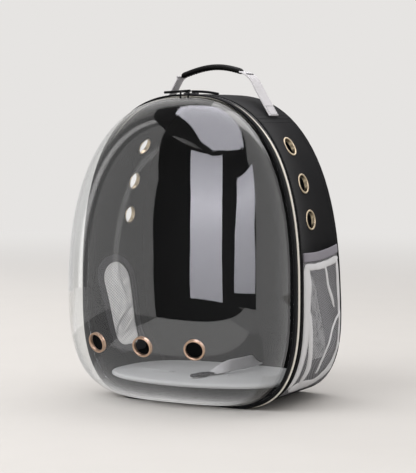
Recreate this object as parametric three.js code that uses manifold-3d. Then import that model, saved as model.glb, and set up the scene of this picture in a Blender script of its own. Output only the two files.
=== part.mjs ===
// Pet carrier backpack with a clear bubble front. Millimetres, +Z up, the bubble faces -Y.
import * as THREE from "three";
import { mergeVertices } from "three/addons/utils/BufferGeometryUtils.js";
import Module from "manifold-3d";

const wasm = await Module();
wasm.setup();

// Driving sizes: the body's outline seen from the front
const HALF_WIDTH = 152;
const HEIGHT = 386;
const FLAT_HALF = 50;
const WIDEST_Z = 140;
const TOP_POWER = 2.46;
const CORNER_POWER = 2.95;

// Driving sizes: depths. The front frame's seam is the plane Y = 0.
const DOME_DEPTH = 119;
const BACK_Y_LOW = 146;
const BACK_Y_TOP = 106;
const GAP = 0.4;

// Fabric body
const WALL = 3;
const WALL_START_Y = 12.8;
const WALL_SAG = 11;
const SAG_HEIGHTS = { none: 30, full: 130 };
const BACK_TAPER = 5;
const TOP_SEAM_Z = 355;
const BASE_SEAM_Z = 13;
const SEAM_STEP_U = 0.003;
const BACK_PAD = 8;
const BACK_BEVEL = 3;

// Bubble
const DOME_WALL = 1.6;
const DOME_INSET = 3;
const DOME_DEEPEST_Z = 159;
const DOME_TOP_POWER = 2.1;
const DOME_BOTTOM_POWER = 2.45;
const DOME_ROUND_POWER = 2.3;
const DOME_SQUARE_POWER = 2.6;
const DOME_SQUARE_BELOW_Z = 46;

// Front frame rings: y0 and y1 are their edges, inner and outer their reach from the outline
const RINGS = {
  dome_binding: { y0: -7.5, y1: 0.2, inner: -2.4, outer: 0.9 },
  zip_tape: { y0: 4.1, y1: 12.4, inner: -3.2, outer: -1.2 },
};
const PIPING = { y: 2.1, radius: 1.6, outset: 0.4, sides: 6 };
const FLOOR_CLEARANCE = 0.5;
const RING_STEPS = 48;

// Eyelets
const EYELET = { bore: 10.4, tube: 11, hole: 11.6, flange: 12.9, thick: 1.1, bevel: 0.8 };
const DOME_SLACK = { out: 0.5, back: 2.6 };
const WALL_SLACK = { out: 1.4, back: 1.4 };
const DOME_EYELETS = [
  { side: "left", x: -68 },
  { side: "centre", x: 0 },
  { side: "right", x: 68 },
];
const DOME_EYELET_Z = 84;
const SIDE_EYELET_HEIGHTS = [321, 275, 230];
const SIDE_EYELET_V = 0.55;

// Arched mesh window in each side wall, whose top leans forward
const WINDOW = { y: 66, halfWidth: 27, low: 54, high: 169, corner: 14, lean: 0.3, band: 10, bandThick: 1.4 };
const WINDOW_SKIN = { outer: -0.9, inner: -2.1 };
const WINDOW_CUT = { from: 100, depth: 80 };

// Side pocket: height of its bottom, its elastic edge and its reach over the wall's depth.
// The edge has one height in front and one behind, and sags in between.
const POCKET = { low: 16, v0: 0.03, v1: 0.97, clear: 0.7, bulge: 15, skin: 1.2, band: 2.2 };
const POCKET_EDGE = { front: 181.5, back: 186, sag: 5, width: 11 };
const POCKET_MOUTH = 0.74;

// Zip sliders and pulls: ride is their height over the frame's top edge
const SLIDER = { length: 9, width: 6, thick: 2.6, gap: 1, ride: -0.8 };
const PULL = { length: 36, width: 5.5, thick: 3.2, gap: 2, droop: 0.05, lift: 0.1 };

// Carrying handle
const HANDLE_Y = 74;
// The sleeve-like grip covers only part of the arch, from and to being its ends along X
const ARCH = { half: 50, low: 410.5, high: 421 };
const GRIP = { from: -50, to: 37, radius: 3.8, flatten: 1.7 };
const HANDLE_WEB = { width: 25, thick: 2 };
const HANDLE_END_GAP = 1.4;
const HANDLE_TURN_X = 44;
// Each leg runs straight from the arch's end to its foot, which is sewn into the shoulder seam
const HANDLE_LEG_SHARES = [0.08, 0.4, 0.75, 1];
const HANDLE_FOOT = { z: 357.5, lift: 1.2 };

// Straps on the back: height above the floor, distance from the middle and stand-off from the pad
const STRAP = { width: 56, thick: 8 };
const STRAP_ROUTE = [
  { z: 350, x: 52, off: 0.6 },
  { z: 330, x: 53, off: 5 },
  { z: 293, x: 57, off: 18 },
  { z: 240, x: 64, off: 25 },
  { z: 186, x: 70, off: 25 },
  { z: 137, x: 76, off: 21 },
];
const LOWER_WEB = { width: 25, thick: 2 };
const LOWER_WEB_ROUTE = [
  { z: 133, x: 77, off: 23.5 },
  { z: 95, x: 86, off: 17 },
  { z: 55, x: 97, off: 7 },
  { z: 30, x: 103, off: 0.6 },
];

// Floor mat and tether
const MAT = { low: 27, half: 124.2, frontY: -43, midY: 30, backY: 134, backPower: 3.2 };
const MAT_LAYERS = [
  { up: 0, inset: 3 },
  { up: 3, inset: 0 },
  { up: 5, inset: 0 },
  { up: 7, inset: 2 },
];
const TETHER = { width: 15, thick: 1.6 };
// The tether lies flat at both ends and is tilted on its edge in between, by degrees
const TETHER_ROUTE = [
  { x: 22, y: 24, z: 36, tilt: 0 },
  { x: 26.5, y: 40, z: 39.8, tilt: 35 },
  { x: 30, y: 56, z: 42.4, tilt: 75 },
  { x: 33, y: 74, z: 42.5, tilt: 80 },
  { x: 35, y: 92, z: 42.5, tilt: 78 },
  { x: 35, y: 108, z: 42.2, tilt: 70 },
  { x: 33, y: 121, z: 40.8, tilt: 45 },
  { x: 29, y: 131, z: 36.8, tilt: 8 },
];
const CLIP = { length: 38, width: 13, thick: 5 };

const SIDES = [
  { name: "left", sign: -1 },
  { name: "right", sign: 1 },
];

// Colours and finishes by material
const FINISHES = {
  clear_pvc: { color: 0xe8ecee, roughness: 0.05, metalness: 0, transparent: true, opacity: 0.3 },
  black_fabric: { color: 0x222224, roughness: 0.85, metalness: 0 },
  black_trim: { color: 0x161617, roughness: 0.6, metalness: 0 },
  cream_piping: { color: 0xebe4d7, roughness: 0.6, metalness: 0 },
  brass: { color: 0xbf9d80, roughness: 0.3, metalness: 1 },
  grey_elastic: { color: 0x96949e, roughness: 0.8, metalness: 0 },
  white_mesh: { color: 0xd4d4d6, roughness: 0.85, metalness: 0 },
  grip_rubber: { color: 0x1c1c1d, roughness: 0.45, metalness: 0 },
  light_webbing: { color: 0xd8d6d8, roughness: 0.75, metalness: 0 },
  mat_fabric: { color: 0xc3c3c5, roughness: 0.8, metalness: 0 },
  dark_plastic: { color: 0x3a3a3c, roughness: 0.4, metalness: 0 },
};

const carrier = new THREE.Group();

function addMesh(name, finish, geometry) {
  const material = new THREE.MeshStandardMaterial({ name: finish, ...FINISHES[finish] });
  geometry.computeVertexNormals();
  const mesh = new THREE.Mesh(geometry, material);
  mesh.name = name;
  carrier.add(mesh);
}

const mix = (a, b, t) => a + (b - a) * t;
const steps = (from, to, count) => Array.from({ length: count + 1 }, (_, i) => mix(from, to, i / count));

// Point of a rounded square of half size 1 in a given direction: power 2 is a circle, more is squarer
function roundedSquare(angle, power) {
  const across = Math.cos(angle);
  const up = Math.sin(angle);
  const reach = Math.pow(Math.pow(Math.abs(across), power) + Math.pow(Math.abs(up), power), -1 / power);
  return { across: across * reach, up: up * reach };
}

// Direction in which the rounded square has a given height
function angleAtHeight(up, power) {
  const raised = Math.pow(up, power);
  return Math.atan(Math.pow(raised / (1 - raised), 1 / power));
}

// Closed body from section loops. Point k of a loop faces point n-1-k, so that the ends close as ladders
// and the two faces of a wall split along the same diagonals.
function sweepBody(loops, ring = false) {
  const size = loops[0].length;
  const indices = [];
  const quad = (a, b, c, d) => indices.push(a, b, c, a, c, d);
  const spans = ring ? loops.length : loops.length - 1;
  for (let i = 0; i < spans; i++) {
    const here = i * size;
    const next = ((i + 1) % loops.length) * size;
    for (let k = 0; k < size; k++) {
      const k1 = (k + 1) % size;
      const corners = [here + k, here + k1, next + k1, next + k];
      if (k < size / 2) quad(...corners);
      else quad(...corners.slice(1), corners[0]);
    }
  }
  const last = (loops.length - 1) * size;
  for (let k = 0; !ring && k < size / 2 - 1; k++) {
    const far = size - 1 - k;
    quad(k, far, far - 1, k + 1);
    quad(last + k, last + k + 1, last + far - 1, last + far);
  }
  return cleanGeometry(loops.flat(2), indices);
}

// Merges shared vertices, drops empty triangles and turns the faces outwards
function cleanGeometry(positions, indices) {
  let geometry = new THREE.BufferGeometry();
  geometry.setAttribute("position", new THREE.Float32BufferAttribute(positions, 3));
  geometry.setIndex(indices);
  geometry = mergeVertices(geometry, 1e-3);
  const index = geometry.getIndex().array;
  const kept = [];
  for (let i = 0; i < index.length; i += 3) {
    const [a, b, c] = [index[i], index[i + 1], index[i + 2]];
    if (a !== b && b !== c && c !== a) kept.push(a, b, c);
  }
  geometry.setIndex(signedVolume(geometry, kept) < 0 ? kept.reverse() : kept);
  return geometry;
}

function signedVolume(geometry, indices) {
  const at = geometry.getAttribute("position");
  const corner = [new THREE.Vector3(), new THREE.Vector3(), new THREE.Vector3()];
  let total = 0;
  for (let i = 0; i < indices.length; i += 3) {
    corner.forEach((v, k) => v.fromBufferAttribute(at, indices[i + k]));
    total += corner[0].dot(corner[1].cross(corner[2])) / 6;
  }
  return total;
}

function toSolid(geometry) {
  let plain = geometry.clone();
  plain.deleteAttribute("normal");
  plain.deleteAttribute("uv");
  plain = mergeVertices(plain, 1e-3);
  const vertProperties = new Float32Array(plain.getAttribute("position").array);
  const triVerts = new Uint32Array(plain.getIndex().array);
  return new wasm.Manifold(new wasm.Mesh({ numProp: 3, vertProperties, triVerts }));
}

function fromSolid(solid) {
  const mesh = solid.getMesh();
  const geometry = new THREE.BufferGeometry();
  geometry.setAttribute("position", new THREE.Float32BufferAttribute(mesh.vertProperties, 3));
  geometry.setIndex([...mesh.triVerts]);
  return geometry;
}

function subtractAll(geometry, cutters) {
  return fromSolid(cutters.reduce((solid, cutter) => solid.subtract(toSolid(cutter)), toSolid(geometry)));
}

// Outline of the front frame. u runs from the bottom middle (0) over the flat (1) and the corner (2)
// to the top (3), and is negative on the left. grow moves the outline out on every side.
function outlineAt(u, grow = 0) {
  const wrapped = u > 3 ? u - 6 : u;
  const side = Math.sign(wrapped);
  const t = Math.abs(wrapped);
  const angle = ((t - Math.floor(t)) * Math.PI) / 2;
  if (t <= 1) return { x: side * FLAT_HALF * t, z: -grow };
  if (t < 2) {
    const { across, up } = roundedSquare(Math.PI / 2 - angle, CORNER_POWER);
    const reach = HALF_WIDTH + grow - FLAT_HALF;
    return { x: side * (FLAT_HALF + reach * across), z: WIDEST_Z - (WIDEST_Z + grow) * up };
  }
  if (t >= 3) return { x: 0, z: HEIGHT + grow };
  const { across, up } = roundedSquare(angle, TOP_POWER);
  return { x: side * (HALF_WIDTH + grow) * across, z: WIDEST_Z + (HEIGHT + grow - WIDEST_Z) * up };
}

// Place on the right of the outline at a given height
function outlineU(z, grow = 0) {
  const quarter = Math.PI / 2;
  const above = (z - WIDEST_Z) / (HEIGHT + grow - WIDEST_Z);
  const below = (WIDEST_Z - z) / (WIDEST_Z + grow);
  if (z > WIDEST_Z) return 2 + angleAtHeight(above, TOP_POWER) / quarter;
  return 2 - angleAtHeight(below, CORNER_POWER) / quarter;
}

const backY = (z) => mix(BACK_Y_LOW, BACK_Y_TOP, z / HEIGHT);

// Point of the fabric wall: v runs from the front seam to the back. The wall sags in between the two.
function wallPoint(u, v, grow) {
  const { x, z } = outlineAt(u, grow);
  const sag = WALL_SAG * THREE.MathUtils.smoothstep(z, SAG_HEIGHTS.none, SAG_HEIGHTS.full);
  const squeeze = 1 - (sag * Math.sin(Math.PI * v) + BACK_TAPER * v) / HALF_WIDTH;
  return [x * squeeze, mix(WALL_START_Y, backY(z), v), z];
}

// Unit normal of the wall, pointing out
function wallNormal(u, v) {
  const step = 0.01;
  const at = (du, dv) => new THREE.Vector3(...wallPoint(u + du, v + dv, 0));
  const along = at(step, 0).sub(at(-step, 0));
  const back = at(0, step).sub(at(0, -step));
  const normal = along.cross(back).normalize();
  return normal.dot(new THREE.Vector3(...wallPoint(u, v, 1)).sub(at(0, 0))) < 0 ? normal.negate() : normal;
}

// Strip of wall between two distances from the outline, which may change over the strip
function wallStrip(us, vs, innerGrow, outerGrow) {
  const loops = us.map((u, i) => {
    const s = i / (us.length - 1);
    const outer = vs.map((v, k) => wallPoint(u, v, outerGrow(s, k / (vs.length - 1))));
    const inner = vs.map((v, k) => wallPoint(u, v, innerGrow(s, k / (vs.length - 1))));
    return [...outer, ...inner.reverse()];
  });
  return sweepBody(loops);
}

const plainWall = (us, vs) => wallStrip(us, vs, () => -WALL, () => 0);

// Ring of revolution standing at a place, its axis along a direction
function ringAt(profile, place, direction, segments = 10) {
  const geometry = new THREE.LatheGeometry(profile.map(([r, h]) => new THREE.Vector2(r, h)), segments);
  const turn = new THREE.Quaternion().setFromUnitVectors(new THREE.Vector3(0, 1, 0), direction);
  geometry.applyQuaternion(turn).translate(place.x, place.y, place.z);
  return cleanGeometry([...geometry.getAttribute("position").array], [...geometry.getIndex().array]);
}

// Spool that lines a hole: flanges on both faces of a wall whose outer face is at height 0
function eyeletRing(place, direction, wall, slack) {
  const { bore, tube, flange, thick, bevel } = EYELET;
  const out = slack.out;
  const back = -wall - slack.back;
  const profile = [
    [bore, back - thick],
    [flange - bevel, back - thick],
    [flange, back],
    [tube, back],
    [tube, out],
    [flange, out],
    [flange - bevel, out + thick],
    [bore, out + thick],
    [bore, back - thick],
  ];
  return ringAt(profile, place, direction);
}

function holeCutter(place, direction) {
  const reach = 12;
  const geometry = new THREE.CylinderGeometry(EYELET.hole, EYELET.hole, 2 * reach, 12);
  const turn = new THREE.Quaternion().setFromUnitVectors(new THREE.Vector3(0, 1, 0), direction);
  return geometry.applyQuaternion(turn).translate(place.x, place.y, place.z);
}

// Bubble: at each height it is half a rounded oval as wide as the outline, deepest low down
function domeDepth(z, shrink) {
  const upper = z > DOME_DEEPEST_Z;
  const span = upper ? HEIGHT - DOME_INSET - shrink - DOME_DEEPEST_Z : DOME_DEEPEST_Z - DOME_INSET - shrink;
  const power = upper ? DOME_TOP_POWER : DOME_BOTTOM_POWER;
  const part = Math.min(Math.abs(z - DOME_DEEPEST_Z) / span, 1);
  return (DOME_DEPTH - shrink) * Math.pow(1 - Math.pow(part, power), 1 / power);
}

function domePower(z) {
  const rounding = Math.max((z - DOME_SQUARE_BELOW_Z) / (HEIGHT - DOME_SQUARE_BELOW_Z), 0);
  return mix(DOME_SQUARE_POWER, DOME_ROUND_POWER, rounding);
}

function domePoint(u, angle, shrink) {
  const { x, z } = outlineAt(u, -DOME_INSET - shrink);
  const { across, up } = roundedSquare(angle, domePower(z));
  return [x * across, -domeDepth(z, shrink) * Math.max(up, 0) - GAP, z];
}

function domeShell() {
  const rows = steps(1, 3, RING_STEPS / 3);
  const angles = steps(0, Math.PI, 16);
  const loops = rows.map((u) => {
    const outer = angles.map((angle) => domePoint(u, angle, 0));
    const inner = angles.map((angle) => domePoint(u, angle, DOME_WALL));
    return [...outer, ...inner.reverse()];
  });
  return sweepBody(loops);
}

// Place and outward direction on the bubble's face at a given X and height
function domeSpot(x, z) {
  const face = (px, pz) => {
    const half = outlineAt(outlineU(pz, -DOME_INSET), -DOME_INSET).x;
    const fill = 1 - Math.pow(Math.abs(px) / half, domePower(pz));
    return new THREE.Vector3(px, -domeDepth(pz, 0) * Math.pow(fill, 1 / domePower(pz)) - GAP, pz);
  };
  const step = 2;
  const across = face(x + step, z).sub(face(x - step, z));
  const up = face(x, z + step).sub(face(x, z - step));
  return { place: face(x, z), direction: across.cross(up).normalize() };
}

function buildDome() {
  const spots = DOME_EYELETS.map(({ x }) => domeSpot(x, DOME_EYELET_Z));
  const cutters = spots.map(({ place, direction }) => holeCutter(place, direction));
  addMesh("dome_window", "clear_pvc", subtractAll(domeShell(), cutters));
  spots.forEach(({ place, direction }, i) => {
    const ring = eyeletRing(place, direction, DOME_WALL, DOME_SLACK);
    addMesh(`dome_eyelet_${DOME_EYELETS[i].side}`, "brass", ring);
  });
}

// Rings of the front frame: flat bands and a round piping, kept just off the floor
function framePoint(u, grow, y) {
  const { x, z } = outlineAt(u, grow);
  return [x, y, Math.max(z, FLOOR_CLEARANCE)];
}

function frameRing(section) {
  const us = steps(-3, 3, RING_STEPS).slice(1);
  return sweepBody(us.map((u) => section.map(([grow, y]) => framePoint(u, grow, y))), true);
}

function bandRing({ y0, y1, inner, outer }) {
  return frameRing([[outer, y0], [outer, y1], [inner, y1], [inner, y0]]);
}

function pipingRing() {
  const { y, radius, outset, sides } = PIPING;
  const turns = steps(0, 2 * Math.PI, sides).slice(1);
  return frameRing(turns.map((turn) => [outset + radius * Math.cos(turn), y + radius * Math.sin(turn)]));
}

function buildFrontFrame() {
  addMesh("dome_binding", "black_trim", bandRing(RINGS.dome_binding));
  addMesh("front_piping", "cream_piping", pipingRing());
  addMesh("zip_tape", "black_trim", bandRing(RINGS.zip_tape));
}

// Two zip sliders meet near the top, each with a pull that lies along the tape
function buildZipPulls() {
  const ride = HEIGHT + SLIDER.ride;
  SIDES.forEach(({ name, sign }) => {
    const y = (RINGS.zip_tape.y0 + RINGS.zip_tape.y1) / 2;
    const body = new THREE.BoxGeometry(SLIDER.length, SLIDER.width, SLIDER.thick);
    body.translate(sign * (SLIDER.length / 2 + SLIDER.gap), y, ride + SLIDER.thick / 2);
    addMesh(`zip_slider_${name}`, "dark_plastic", body);
    const strip = new THREE.BoxGeometry(PULL.length, PULL.width, PULL.thick);
    strip.rotateY(sign * PULL.droop);
    strip.translate(sign * (PULL.length / 2 + PULL.gap), y, ride + SLIDER.thick + PULL.thick / 2 + PULL.lift);
    addMesh(`zip_pull_${name}`, "black_trim", strip);
  });
}

// Side wall with its eyelets, window and pocket. The left wall mirrors the right one.
function mirrored(geometry, sign) {
  if (sign > 0) return geometry;
  const copy = geometry.clone().scale(-1, 1, 1);
  return cleanGeometry([...copy.getAttribute("position").array], [...copy.getIndex().array]);
}

function windowPrism(extra) {
  const { y, halfWidth, low, high, corner, lean } = WINDOW;
  const half = halfWidth + extra;
  const shape = new THREE.Shape();
  shape.moveTo(y - half + corner, low - extra);
  shape.lineTo(y + half - corner, low - extra);
  shape.absarc(y + half - corner, low - extra + corner, corner, -Math.PI / 2, 0);
  shape.lineTo(y + half, high - halfWidth);
  shape.absarc(y, high - halfWidth, half, 0, Math.PI);
  shape.lineTo(y - half, low - extra + corner);
  shape.absarc(y - half + corner, low - extra + corner, corner, Math.PI, 1.5 * Math.PI);
  const geometry = new THREE.ExtrudeGeometry(shape, {
    depth: WINDOW_CUT.depth,
    bevelEnabled: false,
    curveSegments: 6,
  });
  const toSide = new THREE.Matrix4().makeBasis(
    new THREE.Vector3(0, 1, 0),
    new THREE.Vector3(0, 0, 1),
    new THREE.Vector3(1, 0, 0),
  );
  const leaning = new THREE.Matrix4().makeShear(0, 0, 0, 0, 0, -lean);
  const middle = (low + high) / 2;
  return geometry.applyMatrix4(toSide).applyMatrix4(leaning).translate(WINDOW_CUT.from, lean * middle, 0);
}

function intersectWith(geometry, prism) {
  return toSolid(geometry).intersect(toSolid(prism));
}

const sideUs = steps(outlineU(BASE_SEAM_Z), outlineU(TOP_SEAM_Z), 10);
const wallVs = steps(0, 1, 4);

function buildSide({ name, sign }) {
  const spots = SIDE_EYELET_HEIGHTS.map((height) => {
    const u = outlineU(height);
    const place = new THREE.Vector3(...wallPoint(u, SIDE_EYELET_V, 0));
    return { place, direction: wallNormal(u, SIDE_EYELET_V) };
  });
  const cutters = spots.map(({ place, direction }) => holeCutter(place, direction));
  const panel = subtractAll(plainWall(sideUs, wallVs), [...cutters, windowPrism(0)]);
  addMesh(`side_panel_${name}`, "black_fabric", mirrored(panel, sign));
  spots.forEach(({ place, direction }, i) => {
    const ring = eyeletRing(place, direction, WALL, WALL_SLACK);
    addMesh(`side_eyelet_${name}_${i + 1}`, "brass", mirrored(ring, sign));
  });
  const meshSkin = wallStrip(sideUs, wallVs, () => WINDOW_SKIN.inner, () => WINDOW_SKIN.outer);
  const mesh = intersectWith(meshSkin, windowPrism(-GAP));
  addMesh(`window_mesh_${name}`, "white_mesh", mirrored(fromSolid(mesh), sign));
  const bandFace = -WALL - GAP;
  const bandSkin = wallStrip(sideUs, wallVs, () => bandFace - WINDOW.bandThick, () => bandFace);
  const band = intersectWith(bandSkin, windowPrism(WINDOW.band)).subtract(toSolid(windowPrism(0)));
  addMesh(`window_binding_${name}`, "grey_elastic", mirrored(fromSolid(band), sign));
}

// Pocket: sewn down along its bottom and sides, standing off the wall, and open at the top
function pocketLift(s, t) {
  const across = Math.pow(Math.sin(Math.PI * t), 0.7);
  return POCKET.clear + POCKET.bulge * across * Math.sin(Math.PI * POCKET_MOUTH * s);
}

function pocketEdgeZ(t) {
  const { front, back, sag } = POCKET_EDGE;
  return mix(front, back, t) - sag * Math.sin(Math.PI * t);
}

// Strip of pocket: rows give its height at t, and lift its distance from the wall at row s and t
function pocketStrip(rows, thick, lift) {
  const ts = steps(0, 1, 8);
  const loops = rows.map((heightAt, i) => {
    const place = (t, more) => {
      const v = mix(POCKET.v0, POCKET.v1, t);
      return wallPoint(outlineU(heightAt(t)), v, lift(i / (rows.length - 1), t) + more);
    };
    return [...ts.map((t) => place(t, thick)), ...ts.map((t) => place(t, 0)).reverse()];
  });
  return sweepBody(loops);
}

function buildPocket({ name, sign }) {
  const meshRows = steps(0, 1, 9).map((s) => (t) => mix(POCKET.low, pocketEdgeZ(t), s));
  const sheet = pocketStrip(meshRows, POCKET.skin, pocketLift);
  addMesh(`pocket_mesh_${name}`, "white_mesh", mirrored(sheet, sign));
  const rimRows = steps(GAP, POCKET_EDGE.width, 2).map((up) => (t) => pocketEdgeZ(t) + up);
  const rim = pocketStrip(rimRows, POCKET.band, (s, t) => pocketLift(1, t));
  addMesh(`pocket_binding_${name}`, "grey_elastic", mirrored(rim, sign));
}

function buildBody() {
  const topU = outlineU(TOP_SEAM_Z) + SEAM_STEP_U;
  const topUs = steps(topU, 6 - topU, 10);
  addMesh("top_panel", "black_fabric", plainWall(topUs, wallVs));
  const baseU = outlineU(BASE_SEAM_Z) - SEAM_STEP_U;
  const baseUs = steps(-baseU, baseU, 10);
  addMesh("base_panel", "black_fabric", plainWall(baseUs, wallVs));
  SIDES.forEach(buildSide);
  SIDES.forEach(buildPocket);
  const layers = [
    { off: GAP, grow: 0 },
    { off: BACK_PAD - BACK_BEVEL, grow: 0 },
    { off: BACK_PAD, grow: -BACK_BEVEL },
  ];
  const loops = layers.map(({ off, grow }) => steps(-3, 3, 37).map((u) => {
    const { x, z } = outlineAt(u, grow);
    return [x * (1 - BACK_TAPER / HALF_WIDTH), backY(z) + off, z];
  }));
  addMesh("back_panel", "black_fabric", sweepBody(loops));
}

// Ribbon along a route: widthOf gives the way its width runs, thickness is square to it
function ribbon(points, widthOf, { width, thick }, count = 24) {
  const curve = new THREE.CatmullRomCurve3(points.map(({ x, y, z }) => new THREE.Vector3(x, y, z)));
  const loops = steps(0, 1, count).map((t) => {
    const centre = curve.getPoint(t);
    const across = widthOf(curve.getTangent(t), t);
    const lift = curve.getTangent(t).cross(across).normalize().multiplyScalar(thick / 2);
    across.multiplyScalar(width / 2);
    const corner = (a, b) => centre.clone().addScaledVector(across, a).addScaledVector(lift, b).toArray();
    return [corner(1, 1), corner(1, -1), corner(-1, -1), corner(-1, 1)];
  });
  return sweepBody(loops);
}

const archZ = (x) => mix(ARCH.low, ARCH.high, Math.cos((Math.PI * x) / (2 * ARCH.half)));

function buildHandle() {
  const loops = steps(GRIP.from, GRIP.to, 10).map((x) => {
    const z = archZ(x);
    return steps(0, 2 * Math.PI, 10).slice(1).map((turn) => {
      return [x, HANDLE_Y + GRIP.flatten * GRIP.radius * Math.cos(turn), z + GRIP.radius * Math.sin(turn)];
    });
  });
  addMesh("handle_grip", "grip_rubber", sweepBody(loops));
  SIDES.forEach(({ name, sign }) => {
    const gripEnd = (sign > 0 ? GRIP.to : -GRIP.from) + HANDLE_END_GAP;
    const archXs = [gripEnd, HANDLE_TURN_X].filter((x) => x >= gripEnd);
    const arch = archXs.map((x) => ({ x: sign * x, y: HANDLE_Y, z: archZ(x) }));
    const cornerX = Math.max(gripEnd, ARCH.half);
    const footV = (HANDLE_Y - WALL_START_Y) / (backY(HANDLE_FOOT.z) - WALL_START_Y);
    const footLift = HANDLE_WEB.thick / 2 + HANDLE_FOOT.lift;
    const [footX, , footZ] = wallPoint(outlineU(HANDLE_FOOT.z), footV, footLift);
    const leg = HANDLE_LEG_SHARES.map((share) => ({
      x: sign * mix(cornerX, footX, share),
      y: HANDLE_Y,
      z: mix(archZ(cornerX), footZ, share),
    }));
    const route = [...arch, ...leg];
    const web = ribbon(route, () => new THREE.Vector3(0, 1, 0), HANDLE_WEB, 14);
    addMesh(`handle_webbing_${name}`, "light_webbing", web);
  });
}

// Straps behind the back pad
function strapPoint({ z, x, off }, sign, thick) {
  return { x: sign * x, y: backY(z) + BACK_PAD + off + thick / 2, z };
}

function buildStraps({ name, sign }) {
  const sideways = () => new THREE.Vector3(1, 0, 0);
  const strap = STRAP_ROUTE.map((row) => strapPoint(row, sign, STRAP.thick));
  addMesh(`shoulder_strap_${name}`, "black_fabric", ribbon(strap, sideways, STRAP, 16));
  const lower = LOWER_WEB_ROUTE.map((row) => strapPoint(row, sign, LOWER_WEB.thick));
  addMesh(`strap_webbing_${name}`, "black_trim", ribbon(lower, sideways, LOWER_WEB, 12));
}

// Mat: a wide bow in front and a squarer back, seen from above
function matOutline(inset) {
  const { half, frontY, midY, backY: rear, backPower } = MAT;
  const front = steps(0, Math.PI / 2, 9).map((a) => ({
    x: (half - inset) * Math.sin(a),
    y: midY + (frontY + inset - midY) * Math.cos(a),
  }));
  const back = steps(0, Math.PI / 2, 7).slice(1).map((a) => {
    const { across, up } = roundedSquare(a, backPower);
    return { x: (half - inset) * across, y: midY + (rear - inset - midY) * up };
  });
  const right = [...front, ...back];
  const left = right.map(({ x, y }) => ({ x: -x, y })).reverse();
  return [...right.slice(0, -1), ...left.slice(0, -1)];
}

function buildFloor() {
  const loops = MAT_LAYERS.map(({ up, inset }) => matOutline(inset).map(({ x, y }) => [x, y, MAT.low + up]));
  addMesh("floor_mat", "mat_fabric", sweepBody(loops));
  const tiltAt = (t) => {
    const place = t * (TETHER_ROUTE.length - 1);
    const span = Math.min(Math.floor(place), TETHER_ROUTE.length - 2);
    return THREE.MathUtils.degToRad(mix(TETHER_ROUTE[span].tilt, TETHER_ROUTE[span + 1].tilt, place - span));
  };
  const tilted = (tangent, t) => {
    const level = new THREE.Vector3(tangent.y, -tangent.x, 0).normalize();
    return level.applyAxisAngle(tangent, tiltAt(t));
  };
  addMesh("tether_strap", "light_webbing", ribbon(TETHER_ROUTE, tilted, TETHER, 21));
  const [end, next] = TETHER_ROUTE;
  const heading = Math.atan2(next.y - end.y, next.x - end.x);
  const clip = new THREE.BoxGeometry(CLIP.length, CLIP.width, CLIP.thick);
  clip.rotateZ(heading).translate(
    end.x - (CLIP.length / 2 + GAP) * Math.cos(heading),
    end.y - (CLIP.length / 2 + GAP) * Math.sin(heading),
    MAT.low + MAT_LAYERS.at(-1).up + GAP + CLIP.thick / 2,
  );
  addMesh("tether_clip", "dark_plastic", clip);
}

buildDome();
buildFrontFrame();
buildZipPulls();
buildBody();
buildHandle();
SIDES.forEach(buildStraps);
buildFloor();

// The carrier stands on the floor with its middle over the origin
carrier.updateMatrixWorld(true);
const box = new THREE.Box3().setFromObject(carrier);
carrier.position.set(-(box.min.x + box.max.x) / 2, -(box.min.y + box.max.y) / 2, -box.min.z);

export default carrier;
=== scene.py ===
"""Pet carrier backpack with a clear bubble front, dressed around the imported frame."""
import math

import bmesh
import bpy
import numpy as np
from mathutils import Matrix, Quaternion, Vector, noise
from mathutils.geometry import delaunay_2d_cdt


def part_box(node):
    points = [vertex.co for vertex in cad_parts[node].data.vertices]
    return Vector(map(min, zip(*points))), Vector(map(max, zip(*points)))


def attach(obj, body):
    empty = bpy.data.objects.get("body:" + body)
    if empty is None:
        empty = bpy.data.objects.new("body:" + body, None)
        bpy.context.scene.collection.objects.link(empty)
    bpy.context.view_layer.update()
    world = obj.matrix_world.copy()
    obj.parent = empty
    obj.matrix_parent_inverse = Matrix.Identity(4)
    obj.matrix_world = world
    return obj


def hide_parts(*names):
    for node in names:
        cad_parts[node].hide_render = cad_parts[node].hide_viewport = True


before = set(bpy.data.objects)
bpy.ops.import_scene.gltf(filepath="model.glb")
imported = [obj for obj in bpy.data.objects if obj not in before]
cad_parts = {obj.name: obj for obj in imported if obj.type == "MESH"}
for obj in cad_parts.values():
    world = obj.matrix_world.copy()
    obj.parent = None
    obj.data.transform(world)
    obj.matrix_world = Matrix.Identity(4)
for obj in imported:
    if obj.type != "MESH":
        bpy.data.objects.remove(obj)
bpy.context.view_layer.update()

MM = 0.001
# Cloth simulation of the padded pieces: pressure, frames, and how far a point may move in millimetres
PUFF = {"pressure": 4.0, "frames": 20, "mat": 1.0, "back": 1.2, "strap": 0.6}
SIDES = (("left", -1), ("right", 1))

# Camera, fitted to the photograph: place round the object in degrees, metres and image pixels
CAMERA = {"azimuth": 29.5, "distance": 2.085, "height": 0.355, "pitch": 4.04, "yaw": -0.35, "focal_px": 1662}
IMAGE_LONG_SIDE_PX = 473
SENSOR = 36.0

# Sizes of the model in millimetres, as in the CAD source. The front seam is its plane Y = 0.
HALF_WIDTH, HEIGHT, FLAT_HALF, WIDEST_Z = 152, 386, 50, 140
TOP_POWER, CORNER_POWER = 2.46, 2.95
DOME_DEPTH, BACK_Y_LOW, BACK_Y_TOP, GAP = 119, 146, 106, 0.4
WALL, WALL_START_Y, WALL_SAG, BACK_TAPER = 3, 12.8, 11, 5
SAG_NONE_Z, SAG_FULL_Z = 30, 130
TOP_SEAM_Z, BASE_SEAM_Z, SEAM_STEP_U = 355, 13, 0.003
# Thread of the wall seams: lift off the cloth, steps of u beside the top seam, and v of the side walls' rows
SEAM_STITCH = {"lift": 0.05, "beside": (-0.02, 0.026), "rows": (0.035, 0.965)}
BACK_PAD, BACK_MIDDLE_Z = 8, 150
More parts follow.
